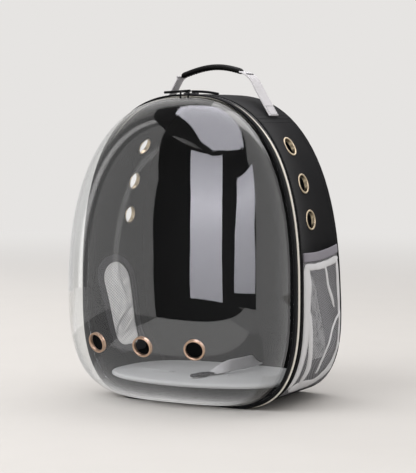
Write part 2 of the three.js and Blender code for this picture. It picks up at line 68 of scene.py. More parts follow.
# Layers of the back pad from its edge inwards: share of the outline, and height in millimetres.
# It is sewn at the seam's share, and at all shares over the edge's.
BACK_SEAM = {"share": 0.93, "stitches": 4.3, "edge": 0.99}
BACK_LAYERS = (
    (1.0, GAP), (1.0, 3.0), (0.997, 4.6), (0.988, 5.6), (0.97, 6.0), (0.945, 5.6), (0.935, 4.6), (0.93, 4.2),
    (0.925, 4.5), (0.91, 5.3), (0.87, 6.2), (0.78, 6.6), (0.69, 6.7), (0.6, 6.8), (0.5, 6.8), (0.4, 6.8),
    (0.3, 6.8), (0.2, 6.8), (0.1, 6.8),
)
DOME_WALL, DOME_INSET, DOME_DEEPEST_Z = 1.6, 3, 159
DOME_TOP_POWER, DOME_BOTTOM_POWER = 2.1, 2.45
DOME_ROUND_POWER, DOME_SQUARE_POWER, DOME_SQUARE_BELOW_Z = 2.3, 2.6, 46
BINDING = {"y0": -7.5, "y1": 0.2, "inner": -2.4, "outer": 0.9, "drop": 1.2}
ZIP = {"y0": 4.1, "y1": 12.4, "inner": -3.2, "outer": -1.2}
PIPING = {"y": 2.1, "radius": 1.6, "outset": 0.4, "drop": 3.2}
# Inner edge of the binding, which covers the piping's sewn edge
BINDING_LIP = {"y0": 0.1, "y1": 3.9, "inner": -2.4, "outer": -1.35}
FLOOR_CLEARANCE = 0.5
CREST_HEIGHTS = (300, 360)
EYELET = {"bore": 10.4, "tube": 11, "hole": 11.6, "flange": 12.9, "thick": 1.1}
DOME_SLACK = {"out": 0.4, "back": 1.2, "rear": 12.9}
WALL_SLACK = {"out": 0.3, "back": 0.2, "rear": 11.9}
DOME_EYELETS = (("left", -68), ("centre", 0), ("right", 68))
DOME_EYELET_Z = 84
SIDE_EYELET_HEIGHTS = (321, 275, 230)
SIDE_EYELET_V = 0.55
WINDOW_NET = {"grow": -1.5, "spacing": 4.0}
WINDOW = {"y": 66, "half": 27, "low": 54, "high": 169, "corner": 14, "lean": 0.3, "band": 10, "thick": 1.4}
POCKET = {"low": 16, "v0": 0.03, "v1": 0.97, "clear": 0.7, "bulge": 15, "mouth": 0.74}
POCKET_EDGE = {"front": 181.5, "back": 186, "sag": 5, "width": 11, "thick": 2.2}
HANDLE_Y = 74
ARCH = {"half": 50, "low": 410.5, "high": 421}
GRIP = {"from": -50, "to": 37, "radius": 3.8, "flatten": 1.7, "round": 2.4, "pinch": 0.45}
GRIP_STITCH = {"angle": -62, "end": 3}
HANDLE_WEB = {"width": 25, "thick": 2}
HANDLE_END_GAP, HANDLE_TURN_X = 1.4, 44
HANDLE_TWIST = {"degrees": 11, "shares": (0.05, 0.3, 0.5, 0.78)}
HANDLE_LEG_SHARES = (0.08, 0.4, 0.75, 1)
HANDLE_FOOT = {"z": 357.5, "lift": 1.2}
# Sewn box at a leg's foot, in from the webbing's edges and so many steps long, and tacks past the turn
HANDLE_SEWN = {"inset": 2.5, "steps": 12, "past_turn": 3}
STRAP = {"width": 56, "thick": 8}
# Bound edge of a strap: width, how much thinner it is, and how far in it, its thread and the sewn part lie
STRAP_EDGE = {"width": 4.4, "thinner": 1.6, "inset": 2.2, "stitches": 6.2, "sewn": 6, "sink": 0.5}
STRAP_ROUTE = ((350, 52, 0.6), (330, 53, 5), (293, 57, 18), (240, 64, 25), (186, 70, 25), (137, 76, 21))
LOWER_WEB = {"width": 25, "thick": 2}
LOWER_WEB_ROUTE = ((133, 77, 23.5), (95, 86, 17), (55, 97, 7), (30, 103, 0.6))
MAT = {"low": 27, "half": 124.2, "front": -43, "mid": 30, "back": 134, "power": 3.2, "thick": 7}
MAT_SEAM = {"inset": 6.0, "stitches": 5.85}
MAT_DENT = {"depth": 0.25, "size": 45, "inside": 10}
# Layers of the mat from under its middle, round its edge and over its top: inset and height
MAT_LAYERS = (
    (40, 0.1), (8, 0.1), (3, 0.3), (1.0, 1.4), (0.6, 2.8), (0.8, 4.0), (1.6, 5.2), (3.0, 5.9), (5.0, 5.9),
    (6.0, 5.8), (7.0, 5.9), (10, 6.0), (18, 6.0), (26, 6.0), (34, 6.0), (47, 6.0), (60, 6.0), (72, 6.0),
    (84, 6.0),
)
TETHER = {"width": 15, "thick": 1.6}
TETHER_ROUTE = (
    (22, 24, 36), (26.5, 40, 39.8), (30, 56, 42.4), (33, 74, 42.5), (35, 92, 42.5), (35, 108, 42.2),
    (33, 121, 40.8), (29, 131, 36.8),
)
TETHER_TILTS = (0, 35, 75, 80, 78, 70, 45, 8)
CLIP_THICK = 5
# The clip's loops and blocks: place along it from the strap, then sizes in millimetres
CLIP_EYE = {"at": 3.4, "along": 2.2, "across": 4.8, "radius": 1.15, "count": 36}
CLIP_HOOK = {"at": 30.4, "along": -6.0, "across": 4.2, "radius": 1.6, "count": 48}
CLIP_SWIVEL = {"size": (6, 5.6, 4.2), "at": (8.2, 0), "power": 3}
CLIP_BODY = {"size": (17, 9.6, 4.8), "at": (18.4, 0), "power": 4}
CLIP_LEVER = {"size": (6, 2.4, 2.0), "at": (19.0, 5.2), "power": 3}
ZIP_TOP = {"slider": 9, "slider_gap": 1, "pull": 36, "pull_gap": 2, "ride": -0.8, "lift": 4.0, "droop": 0.05}
ZIP_TOOTH = {"pitch": 2.0, "along": 1.3, "across": 2.6, "high": 0.9, "step": 0.7, "lift": 0.2}
# Sections of a tooth from its foot up: height and width, as shares
ZIP_TOOTH_SECTIONS = ((-0.5, 1.0), (0.3, 1.0), (0.5, 0.6))
# Slider, and sections of its tab and of the ribbon pull: width and thickness
ZIP_BODY = {"across": 6, "high": 2.6}
ZIP_BRIDGE = {"size": (5.5, 2.2, 1.4), "up": 2.7}
ZIP_TAB, ZIP_STRIP = (2.4, 1.1), (5.2, 3.1)
# The tab that hangs over the front from each zip slider: Y from the slider and height over the frame's top
ZIP_TAB_ROUTE = ((-1, 2.4), (-5, 3.6), (-12, 3.4), (-16.6, 1.2), (-17.4, -2.5), (-17.8, -6.5))

# The CAD model is centred over the origin, so its depths are shifted from those above
Y_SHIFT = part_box("zip_tape")[0].y / MM - ZIP["y0"]


# Numbers and curves

def mix(a, b, t):
    return a + (b - a) * t


def steps(start, end, count):
    return [mix(start, end, i / count) for i in range(count + 1)]


def full_turn(count):
    """Angles evenly round a circle, the last of them a whole turn."""
    return steps(0, 2 * math.pi, count)[1:]


def smoothstep(x, low, high):
    t = min(max((x - low) / (high - low), 0.0), 1.0)
    return t * t * (3 - 2 * t)


def rounded_square(angle, power):
    """Point of a rounded square of half size 1 in a direction: power 2 is a circle, more is squarer."""
    across, up = math.cos(angle), math.sin(angle)
    reach = (abs(across) ** power + abs(up) ** power) ** (-1 / power)
    return across * reach, up * reach


def angle_at_height(up, power):
    raised = up ** power
    return math.atan((raised / max(1 - raised, 1e-12)) ** (1 / power))


def outline_at(u, grow=0.0):
    """Front outline: u is 0 at the bottom middle, 1 at the flat's end, 2 at the widest and 3 at the top.
    It is minus on the left."""
    wrapped = u - 6 if u > 3 else u
    side = math.copysign(1, wrapped)
    t = abs(wrapped)
    angle = (t - math.floor(t)) * math.pi / 2
    if t <= 1:
        return side * FLAT_HALF * t, -grow
    if t < 2:
        across, up = rounded_square(math.pi / 2 - angle, CORNER_POWER)
        reach = FLAT_HALF + (HALF_WIDTH + grow - FLAT_HALF) * across
        return side * reach, WIDEST_Z - (WIDEST_Z + grow) * up
    if t >= 3:
        return 0.0, HEIGHT + grow
    across, up = rounded_square(angle, TOP_POWER)
    return side * (HALF_WIDTH + grow) * across, WIDEST_Z + (HEIGHT + grow - WIDEST_Z) * up


def outline_u(z, grow=0.0):
    if z > WIDEST_Z:
        above = (z - WIDEST_Z) / (HEIGHT + grow - WIDEST_Z)
        return 2 + angle_at_height(min(above, 1), TOP_POWER) / (math.pi / 2)
    below = (WIDEST_Z - z) / (WIDEST_Z + grow)
    return 2 - angle_at_height(min(below, 1), CORNER_POWER) / (math.pi / 2)


def back_y(z):
    return mix(BACK_Y_LOW, BACK_Y_TOP, z / HEIGHT)


def wall_point(u, v, grow):
    """Point of the fabric wall: v runs from the front seam to the back, and the wall sags in between."""
    x, z = outline_at(u, grow)
    sag = WALL_SAG * smoothstep(z, SAG_NONE_Z, SAG_FULL_Z)
    squeeze = 1 - (sag * math.sin(math.pi * v) + BACK_TAPER * v) / HALF_WIDTH
    return x * squeeze, mix(WALL_START_Y, back_y(z), v), z


def wall_v(y, z):
    return (y - WALL_START_Y) / (back_y(z) - WALL_START_Y)


def wall_normal(u, v):
    step = 0.01
    along = Vector(wall_point(u + step, v, 0)) - Vector(wall_point(u - step, v, 0))
    back = Vector(wall_point(u, v + step, 0)) - Vector(wall_point(u, v - step, 0))
    normal = along.cross(back).normalized()
    out = Vector(wall_point(u, v, 1)) - Vector(wall_point(u, v, 0))
    return -normal if normal.dot(out) < 0 else normal


def dome_depth(z, shrink):
    upper = z > DOME_DEEPEST_Z
    edge = HEIGHT - DOME_INSET - shrink - DOME_DEEPEST_Z if upper else DOME_DEEPEST_Z - DOME_INSET - shrink
    power = DOME_TOP_POWER if upper else DOME_BOTTOM_POWER
    part = min(abs(z - DOME_DEEPEST_Z) / edge, 1)
    return (DOME_DEPTH - shrink) * (1 - part ** power) ** (1 / power)


def dome_power(z):
    rounding = max((z - DOME_SQUARE_BELOW_Z) / (HEIGHT - DOME_SQUARE_BELOW_Z), 0)
    return mix(DOME_SQUARE_POWER, DOME_ROUND_POWER, rounding)


def dome_point(u, angle, shrink):
    x, z = outline_at(u, -DOME_INSET - shrink)
    across, up = rounded_square(angle, dome_power(z))
    return x * across, -dome_depth(z, shrink) * max(up, 0) - GAP, z


def dome_spot(x, z):
    """Place and outward direction on the bubble's face."""
    def face(px, pz):
        half = outline_at(outline_u(pz, -DOME_INSET), -DOME_INSET)[0]
        fill = 1 - (abs(px) / half) ** dome_power(pz)
        return Vector((px, -dome_depth(pz, 0) * fill ** (1 / dome_power(pz)) - GAP, pz))
    step = 2
    across = face(x + step, z) - face(x - step, z)
    up = face(x, z + step) - face(x, z - step)
    return face(x, z), across.cross(up).normalized()


def smooth_route(points, count):
    """Curve through points, evenly sampled in each span, as the CAD source draws its routes."""
    pts = [Vector(p) for p in points]
    pts = [2 * pts[0] - pts[1], *pts, 2 * pts[-1] - pts[-2]]
    spans = len(points) - 1
    found = []
    for k in range(count + 1):
        place = spans * k / count
        i = min(int(place), spans - 1)
        t = place - i
        p0, p1, p2, p3 = pts[i:i + 4]
        d0, d1, d2 = ((b - a).length ** 0.5 for a, b in ((p0, p1), (p1, p2), (p2, p3)))
        t1 = ((p1 - p0) / d0 - (p2 - p0) / (d0 + d1) + (p2 - p1) / d1) * d1
        t2 = ((p2 - p1) / d1 - (p3 - p1) / (d1 + d2) + (p3 - p2) / d2) * d1
        square = 3 * (p2 - p1) - 2 * t1 - t2
        cube = 2 * (p1 - p2) + t1 + t2
        found.append(p1 + t1 * t + square * t ** 2 + cube * t ** 3)
    return found


def tangents(points):
    last = len(points) - 1
    return [(points[min(i + 1, last)] - points[max(i - 1, 0)]).normalized() for i in range(last + 1)]


def run_lengths(points, closed=False):
    pts = [Vector(p) for p in points]
    if closed:
        pts.append(pts[0])
    total = [0.0]
    for a, b in zip(pts, pts[1:]):
        total.append(total[-1] + (b - a).length)
    return total


# Shapes: each is points in source millimetres, faces, and one UV pair per face corner in millimetres

def sweep(loops, ring=False, caps=True):
    """Skin over section loops. ring joins the last section to the first."""
    size = len(loops[0])
    middles = [sum((Vector(p) for p in loop), Vector()) / size for loop in loops]
    along = run_lengths(middles, closed=ring)
    around = run_lengths(loops[0], closed=True)
    points = [tuple(p) for loop in loops for p in loop]
    faces, uvs = [], []
    for i in range(len(loops) if ring else len(loops) - 1):
        here, there = i * size, ((i + 1) % len(loops)) * size
        for k in range(size):
            k1 = (k + 1) % size
            faces.append((here + k, here + k1, there + k1, there + k))
            a0, a1, r0, r1 = along[i], along[i + 1], around[k], around[k + 1]
            uvs.append(((a0, r0), (a0, r1), (a1, r1), (a1, r0)))
    if caps and not ring:
        last = (len(loops) - 1) * size
        faces.append(tuple(range(size - 1, -1, -1)))
        faces.append(tuple(range(last, last + size)))
        uvs.append(tuple((around[k], 0) for k in range(size - 1, -1, -1)))
        uvs.append(tuple((around[k], 0) for k in range(size)))
    return points, faces, uvs


def grid_sheet(grid):
    """One layer over rows of points."""
    rows, cols = len(grid), len(grid[0])
    down = run_lengths([row[cols // 2] for row in grid])
    across = run_lengths(grid[rows // 2])
    points = [tuple(p) for row in grid for p in row]
    faces, uvs = [], []
    for i in range(rows - 1):
        for k in range(cols - 1):
            faces.append((i * cols + k, i * cols + k + 1, (i + 1) * cols + k + 1, (i + 1) * cols + k))
            c0, c1, d0, d1 = across[k], across[k + 1], down[i], down[i + 1]
            uvs.append(((c0, d0), (c1, d0), (c1, d1), (c0, d1)))
    return points, faces, uvs


def slab(outer, inner):
    """Closed wall between two grids of the same size."""
    rows, cols = len(outer), len(outer[0])
    points, faces, uvs = grid_sheet(outer)
    points2, faces2, uvs2 = grid_sheet(inner)
    base = len(points)
    border = [(0, k) for k in range(cols)] + [(i, cols - 1) for i in range(1, rows)]
    border += [(rows - 1, k) for k in range(cols - 2, -1, -1)] + [(i, 0) for i in range(rows - 2, 0, -1)]
    faces += [tuple(base + p for p in reversed(face)) for face in faces2]
    uvs += [tuple(reversed(uv)) for uv in uvs2]
    run = 0.0
    for (i, k), (i1, k1) in zip(border, border[1:] + border[:1]):
        a, b = i * cols + k, i1 * cols + k1
        step = (Vector(outer[i][k]) - Vector(outer[i1][k1])).length
        faces.append((b, a, base + a, base + b))
        uvs.append(((run + step, 0), (run, 0), (run, WALL), (run + step, WALL)))
        run += step
    return points + points2, faces, uvs


def join(*shapes):
    points, faces, uvs = [], [], []
    for more_points, more_faces, more_uvs in shapes:
        base = len(points)
        points += more_points
        faces += [tuple(base + k for k in face) for face in more_faces]
        uvs += more_uvs
    return points, faces, uvs


def mirror(shape, sign):
    if sign > 0:
        return shape
    points, faces, uvs = shape
    flipped = [tuple(reversed(face)) for face in faces]
    return [(-x, y, z) for x, y, z in points], flipped, [tuple(reversed(uv)) for uv in uvs]


def strap_section(width, thick, crown=0.0, edge_steps=4, flat_steps=6):
    """Flat section with round edges: pairs of distance across and height, counter-clockwise."""
    radius = thick / 2
    flat = width / 2 - radius
    section = []
    for side in (1, -1):
        for angle in steps(-math.pi / 2, math.pi / 2, edge_steps):
            section.append((side * (flat + radius * math.cos(angle)), side * radius * math.sin(angle)))
        for t in steps(1, -1, flat_steps)[1:-1]:
            section.append((side * flat * t, side * (radius + crown * (1 - t * t))))
    return section


def ribbon(route, across_of, section):
    """Section swept along a route. across_of gives the way its width runs, from the route's own way
    and the share of it that is run."""
    loops = []
    for i, (point, tangent) in enumerate(zip(route, tangents(route))):
        across = across_of(tangent, i / (len(route) - 1)).normalized()
        lift = tangent.cross(across).normalized()
        loops.append([point + across * a + lift * b for a, b in section])
    return sweep(loops)


def crest_drop(z, drop):
    """How far a part of the frame lies lower along the top, where its full drop is given."""
    return drop * smoothstep(z, *CREST_HEIGHTS)


def frame_ring(section, drop=0.0, follow=(-9, -8), count=288):
    """Section of pairs (distance from the outline, Y) swept round the front frame, never under the floor.
    follow is the distances between which the section comes to take the whole drop along the top."""
    loops = []
    for u in steps(-3, 3, count)[1:]:
        loop = []
        for grow, y in section:
            x, z = outline_at(u, grow)
            loop.append((x, y, max(z - crest_drop(z, drop) * smoothstep(grow, *follow), FLOOR_CLEARANCE)))
        loops.append(loop)
    return sweep(loops, ring=True)


def lathe(profile, place, direction, segments):
    """Closed profile of pairs (radius, height) turned round an axis."""
    turn = Vector((0, 0, 1)).rotation_difference(direction)
    loops = []
    for angle in full_turn(segments):
        across, along = math.cos(angle), math.sin(angle)
        loops.append([turn @ Vector((r * across, r * along, h)) + place for r, h in profile])
    return sweep(loops, ring=True)


def rounded_box(size, place, turn=None, power=5.0, across=20, around=28):
    """Box with soft edges and corners, centred on a place."""
    loops = []
    for s in steps(-math.pi / 2, math.pi / 2, across):
        up = math.copysign(abs(math.sin(s)) ** (2 / power), s)
        ring_size = max(math.cos(s), 0) ** (2 / power)
        loop = []
        for angle in full_turn(around):
            a, b = rounded_square(angle, power)
            p = Vector((a * ring_size * size[0] / 2, b * ring_size * size[1] / 2, up * size[2] / 2))
            if turn:
                p = turn @ p
            loop.append(p + Vector(place))
        loops.append(loop)
    return sweep(loops, caps=False)


def stitch_row(path, normals, length=3.0, gap=1.4, radius=0.34, closed=False):
    """Short threads that lie end to end along a path."""
    pts = [Vector(p) for p in path]
    ups = [Vector(n) for n in normals]
    if closed:
        pts.append(pts[0])
        ups.append(ups[0])
    run = run_lengths(pts)
    xs = np.array(pts)
    ns = np.array(ups)
    count = max(int((run[-1] + gap) / (length + gap)), 1)
    at = lambda table, s: Vector([np.interp(s, run, table[:, c]) for c in range(3)])
    shapes = []
    swell = ((0.0, 0.25), (0.15, 0.8), (0.5, 1.0), (0.85, 0.8), (1.0, 0.25))
    for i in range(count):
        start = i * (length + gap)
        a, b = at(xs, start), at(xs, min(start + length, run[-1]))
        tangent = (b - a).normalized()
        up = at(ns, start + length / 2).normalized()
        side = tangent.cross(up).normalized()
        loops = []
        for t, fat in swell:
            middle = at(xs, min(start + length * t, run[-1])) + up * radius * (fat - 0.6)
            loop = []
            for angle in full_turn(6):
                loop.append(middle + (side * math.cos(angle) + up * math.sin(angle)) * radius * fat)
            loops.append(loop)
        shapes.append(sweep(loops))
    return join(*shapes)


def inside(point, loop):
    x, y = point
    hit = False
    for (x0, y0), (x1, y1) in zip(loop, loop[1:] + loop[:1]):
        if (y0 > y) != (y1 > y) and x < (x1 - x0) * (y - y0) / (y1 - y0) + x0:
            hit = not hit
    return hit


def triangles_between(points, edges, wanted):
    """Flat points and the triangles between them that keep the edges and whose middle is wanted."""
    made = delaunay_2d_cdt([Vector(p) for p in points], edges, [], 0, 1e-5)
    flat = [tuple(p) for p in made[0]]
    kept = []
    for face in made[2]:
        middle = tuple(sum(flat[k][c] for k in face) / 3 for c in (0, 1))
        if wanted(middle):
            kept.append(tuple(face))
    return flat, kept


def flat_panel(width, height, holes, spacing):
    """Triangles of a rectangle with holes, in its own plane: points and triples."""
    across, up = max(int(width / spacing), 1), max(int(height / spacing), 1)
    border = [(x, 0.0) for x in steps(0, width, across)[:-1]]
    border += [(width, y) for y in steps(0, height, up)[:-1]]
    border += [(x, height) for x in steps(width, 0, across)[:-1]]
    border += [(0.0, y) for y in steps(height, 0, up)[:-1]]
    points, edges = [], []
    for loop in [border, *holes]:
        base = len(points)
        points += loop
        edges += [(base + k, base + (k + 1) % len(loop)) for k in range(len(loop))]
    rims = np.array(points)
    for y in steps(0, height, up)[1:-1]:
        for x in steps(0, width, across)[1:-1]:
            near = np.min(np.hypot(rims[:, 0] - x, rims[:, 1] - y))
            if near > 0.6 * spacing and not any(inside((x, y), hole) for hole in holes):
                points.append((x, y))
    return triangles_between(points, edges, lambda p: not any(inside(p, hole) for hole in holes))


def thick_panel(flat, triangles, outer_at, inner_at):
    """Closed wall over flat triangles, its two faces given as functions of the flat place."""
    base = len(flat)
    points = [tuple(outer_at(p)) for p in flat] + [tuple(inner_at(p)) for p in flat]
    faces = list(triangles) + [tuple(base + k for k in reversed(face)) for face in triangles]
    uvs = [tuple(flat[k] for k in face) for face in triangles]
    uvs += [tuple(flat[k] for k in reversed(face)) for face in triangles]
    seen = {}
    for a, b, c in triangles:
        for edge in ((a, b), (b, c), (c, a)):
            seen[tuple(sorted(edge))] = None if tuple(sorted(edge)) in seen else edge
    for a, b in filter(None, seen.values()):
        faces.append((b, a, base + a, base + b))
        uvs.append((flat[b], flat[a], flat[a], flat[b]))
    return points, faces, uvs


# Materials

def linear(code):
    """Linear colour from a hex code as seen on screen."""
    parts = [int(code[i:i + 2], 16) / 255 for i in (0, 2, 4)]
    return tuple(p / 12.92 if p <= 0.04045 else ((p + 0.055) / 1.055) ** 2.4 for p in parts) + (1.0,)


def shade(colour, factor):
    return tuple(min(c * factor, 1) for c in colour[:3]) + (1.0,)


def node(tree, kind, inputs=None, **settings):
    made = tree.nodes.new(kind)
    for key, value in settings.items():
        setattr(made, key, value)
    for key, value in (inputs or {}).items():
        if isinstance(value, bpy.types.NodeSocket):
            tree.links.new(value, made.inputs[key])
        else:
            made.inputs[key].default_value = value
    return made


def start_material(name, **values):
    """Material with one Principled shader whose uniform values are set on its sockets."""
    material = bpy.data.materials.new(name)
    material.use_nodes = True
    tree = material.node_tree
    tree.nodes.clear()
    output = node(tree, "ShaderNodeOutputMaterial")
    shader = node(tree, "ShaderNodeBsdfPrincipled", values)
    tree.links.new(shader.outputs[0], output.inputs["Surface"])
    return material, tree, shader, output


def uv_place(tree, angle=0.0):
    coordinates = node(tree, "ShaderNodeTexCoord")
    mapping = node(tree, "ShaderNodeMapping", {"Vector": coordinates.outputs["UV"]})
    mapping.inputs["Rotation"].default_value = (0, 0, angle)
    return mapping.outputs[0]


NOISE_ROUGHNESS = 0.55


def object_noise(tree, scale, detail=3.0):
    place = node(tree, "ShaderNodeTexCoord").outputs["Object"]
    inputs = {"Vector": place, "Scale": scale, "Detail": detail, "Roughness": NOISE_ROUGHNESS}
    return node(tree, "ShaderNodeTexNoise", inputs).outputs["Fac"]


def spread(tree, value, low, high):
    return node(tree, "ShaderNodeMapRange", {"Value": value, "To Min": low, "To Max": high}).outputs[0]


def math_node(tree, operation, a, b):
    made = node(tree, "ShaderNodeMath", operation=operation)
    for socket, value in zip(made.inputs, (a, b)):
        if isinstance(value, bpy.types.NodeSocket):
            tree.links.new(value, socket)
        else:
            socket.default_value = value
    return made.outputs[0]


def weighted(tree, first, second, share):
    """Sum of two values, where share is the weight of the first and the rest is the second's."""
    part = math_node(tree, "MULTIPLY", first, share)
    return math_node(tree, "ADD", part, math_node(tree, "MULTIPLY", second, 1 - share))


def blend_colour(tree, fac, first, second):
    ramp = node(tree, "ShaderNodeValToRGB", {"Fac": fac})
    ramp.color_ramp.elements[0].color = first
    ramp.color_ramp.elements[1].color = second
    return ramp.outputs["Color"]


def paint(tree, shader, level, colour, low, high):
    """Base colour between two shades of one colour."""
    made = blend_colour(tree, level, shade(colour, low), shade(colour, high))
    tree.links.new(made, shader.inputs["Base Color"])


def roughen(tree, shader, level, low, high):
    tree.links.new(spread(tree, level, low, high), shader.inputs["Roughness"])


def bands(tree, place, pitch, direction):
    """Ridges of a given pitch, from 0 to 1."""
    wave = node(tree, "ShaderNodeTexWave", {"Vector": place, "Scale": math.pi / 10 / pitch})
    wave.wave_type = "BANDS"
    wave.bands_direction = direction
    return wave.outputs["Fac"]


def weave(tree, place, pitch):
    """Plain weave: warp and weft threads in turn, from 0 to 1."""
    checker = node(tree, "ShaderNodeTexChecker", {"Vector": place, "Scale": 1 / pitch})
    threads = node(tree, "ShaderNodeMix", {
        "Factor": checker.outputs["Fac"],
        "A": bands(tree, place, pitch, "X"),
        "B": bands(tree, place, pitch, "Y"),
    })
    return threads.outputs[0]


def add_bump(tree, shader, height, distance, strength=0.6):
    bump = node(tree, "ShaderNodeBump", {"Height": height, "Distance": distance, "Strength": strength})
    tree.links.new(bump.outputs[0], shader.inputs["Normal"])


CLOTH = {"sheen": 0.02, "gloss": 0.06, "depth": 0.00006}


def fabric(name, colour, pitch=0.0012, roughness=0.82, spot=0.08):
    """Woven cloth: threads in relief, with painted shade between them, and slow changes of tone."""
    material, tree, shader, _ = start_material(name, **{
        "Sheen Weight": CLOTH["sheen"], "Sheen Roughness": 0.5, "Specular IOR Level": CLOTH["gloss"],
    })
    height = weave(tree, uv_place(tree), pitch)
    tone = object_noise(tree, 9.0)
    fine = object_noise(tree, 160.0, detail=2.0)
    # The weave's height is mixed into the colour, so it is darker between the threads: painted shade
    level = weighted(tree, weighted(tree, tone, fine, 0.75), height, 0.65)
    paint(tree, shader, level, colour, 1 - 2 * spot, 1 + 2 * spot)
    roughen(tree, shader, tone, roughness - 0.08, roughness + 0.08)
    relief = math_node(tree, "ADD", height, math_node(tree, "MULTIPLY", fine, 0.1))
    add_bump(tree, shader, relief, CLOTH["depth"])
    return material


def webbing(name, colour, rib=0.0016):
    """Flat woven strap: cross ribs broken up by lengthwise threads."""
    material, tree, shader, _ = start_material(name, **{
        "Sheen Weight": 0.05, "Sheen Roughness": 0.5, "Specular IOR Level": 0.12,
    })
    place = uv_place(tree)
    ribs = bands(tree, place, rib, "X")
    threads = bands(tree, place, rib * 0.75, "Y")
    relief = weighted(tree, ribs, threads, 0.65)
    tone = object_noise(tree, 60.0)
    # The ribs' relief is mixed into the colour, so it is darker in the grooves: painted shade
    paint(tree, shader, weighted(tree, relief, tone, 0.5), colour, 0.74, 1.12)
    roughen(tree, shader, tone, 0.6, 0.8)
    add_bump(tree, shader, relief, 0.0003)
    return material


def moulded(name, colour):
    """Moulded plastic with a fine grain and slight wear."""
    material, tree, shader, _ = start_material(name)
    tone = object_noise(tree, 45.0)
    fine = object_noise(tree, 900.0, detail=2.0)
    paint(tree, shader, tone, colour, 0.8, 1.25)
    roughen(tree, shader, tone, 0.32, 0.54)
    add_bump(tree, shader, fine, 0.00004)
    return material


def leather(name, colour):
    """Coated grip: pebbled grain with a satin gloss."""
    material, tree, shader, _ = start_material(name, **{
        "Coat Weight": 0.03, "Coat Roughness": 0.4, "Specular IOR Level": 0.06,
    })
    coordinates = node(tree, "ShaderNodeTexCoord")
    cells = node(tree, "ShaderNodeTexVoronoi", {"Vector": coordinates.outputs["Object"], "Scale": 900.0})
    cells.feature = "SMOOTH_F1"
    tone = object_noise(tree, 50.0)
    paint(tree, shader, tone, colour, 0.75, 1.4)
    roughen(tree, shader, tone, 0.4, 0.56)
    add_bump(tree, shader, cells.outputs["Distance"], 0.0002, 0.5)
    return material


def metal(name, colour):
    """Plated metal: a fine uneven grain, and tarnish in patches."""
    material, tree, shader, _ = start_material(name, Metallic=1.0)
    tarnish = object_noise(tree, 120.0)
    grain = object_noise(tree, 1400.0, detail=1.0)
    paint(tree, shader, tarnish, colour, 0.72, 1.15)
    roughen(tree, shader, tarnish, 0.42, 0.22)
    add_bump(tree, shader, grain, 0.00003, 0.5)
    return material


def clear_plastic(name):
    """Thin clear sheet: see-through face on and mirror-like at a glance, with slight waves and smears."""
    material, tree, shader, output = start_material(name, **{"Metallic": 1.0, "Base Color": (1, 1, 1, 1)})
    waves = object_noise(tree, 7.0, detail=1.0)
    smears = object_noise(tree, 22.0, detail=4.0)
    roughen(tree, shader, smears, 0.0, 0.012)
    add_bump(tree, shader, waves, 0.0015, 0.15)
    facing = node(tree, "ShaderNodeLayerWeight", {"Blend": 0.5}).outputs["Facing"]
    mirrored = spread(tree, math_node(tree, "POWER", facing, 5.0), 0.04, 1.0)
    clear = node(tree, "ShaderNodeBsdfTransparent", {"Color": (0.985, 0.99, 0.99, 1)})
    both = node(tree, "ShaderNodeMixShader", {"Fac": mirrored, 1: clear.outputs[0], 2: shader.outputs[0]})
    tree.links.new(both.outputs[0], output.inputs["Surface"])
    return material


# Threads of a net: their slant in degrees, how soft their edges are, and the share of light from behind
NET = {"slant": 52, "soft": 0.12, "through": 0.45}


def netting(name, colour, pitch, thread):
    """Knitted mesh: diagonal threads with holes between them, partly lit through."""
    material, tree, shader, output = start_material(name, **{"Roughness": 0.75, "Specular IOR Level": 0.1})
    slant = math.radians(NET["slant"])
    left, right = (bands(tree, uv_place(tree, angle), pitch, "X") for angle in (slant, -slant))
    height = math_node(tree, "MAXIMUM", left, right)
    tone = object_noise(tree, 70.0)
    # The threads' height is mixed into the colour, so they are lighter on their crests and darker at their
    # edges: painted shade
    paint(tree, shader, weighted(tree, height, tone, 0.5), colour, 0.75, 1.15)
    add_bump(tree, shader, height, 0.0004, 0.5)
    cover = node(tree, "ShaderNodeMapRange", {
        "Value": height, "From Min": 1 - thread - NET["soft"], "From Max": 1 - thread + NET["soft"],
    }).outputs[0]
    through = node(tree, "ShaderNodeBsdfTranslucent", {"Color": colour})
    lit = node(tree, "ShaderNodeMixShader", {
        "Fac": NET["through"], 1: shader.outputs[0], 2: through.outputs[0],
    })
    clear = node(tree, "ShaderNodeBsdfTransparent")
    both = node(tree, "ShaderNodeMixShader", {"Fac": cover, 1: clear.outputs[0], 2: lit.outputs[0]})
    tree.links.new(both.outputs[0], output.inputs["Surface"])
    return material


# Name, kind, colour and what differs from the kind's usual values
FINISHES = (
    ("black_fabric", fabric, "151516", {}),
    ("black_trim", fabric, "0f0f10", {"pitch": 0.0009, "roughness": 0.65}),
    ("cream_piping", fabric, "f0ebe0", {"pitch": 0.0006, "roughness": 0.55, "spot": 0.05}),
    ("brass", metal, "a88d78", {}),
    ("antique_brass", metal, "a3957d", {}),
    ("grey_elastic", webbing, "86838b", {"rib": 0.0013}),
    ("dark_binding", webbing, "434246", {"rib": 0.0013}),
    ("white_mesh", netting, "b0b0b4", {"pitch": 0.0026, "thread": 0.33}),
    # Pale cloth of the pocket's hems, also a painted highlight on the strips along the net's folds
    ("hem_cloth", fabric, "d2d2d4", {"pitch": 0.0008, "spot": 0.06}),
    ("window_net", netting, "ececed", {"pitch": 0.0030, "thread": 0.34}),
    ("grip_rubber", leather, "0c0c0b", {}),
    ("light_webbing", webbing, "cecccf", {}),
    ("tether_webbing", webbing, "c4c2c6", {}),
    ("mat_fabric", fabric, "b4b4b6", {"roughness": 0.85, "spot": 0.05}),
    ("dark_plastic", moulded, "2c2c2e", {}),
    ("thread_black", fabric, "202021", {"pitch": 0.0003}),
    ("thread_grey", fabric, "6a696d", {"pitch": 0.0003}),
)
MATERIALS = {"clear_pvc": clear_plastic("clear_pvc")}
for finish, kind, code, values in FINISHES:
    MATERIALS[finish] = kind(finish, linear(code), **values)


# Pieces

def place_in_row(point):
    x, y, z = point
    return x * MM, (y + Y_SHIFT) * MM, z * MM


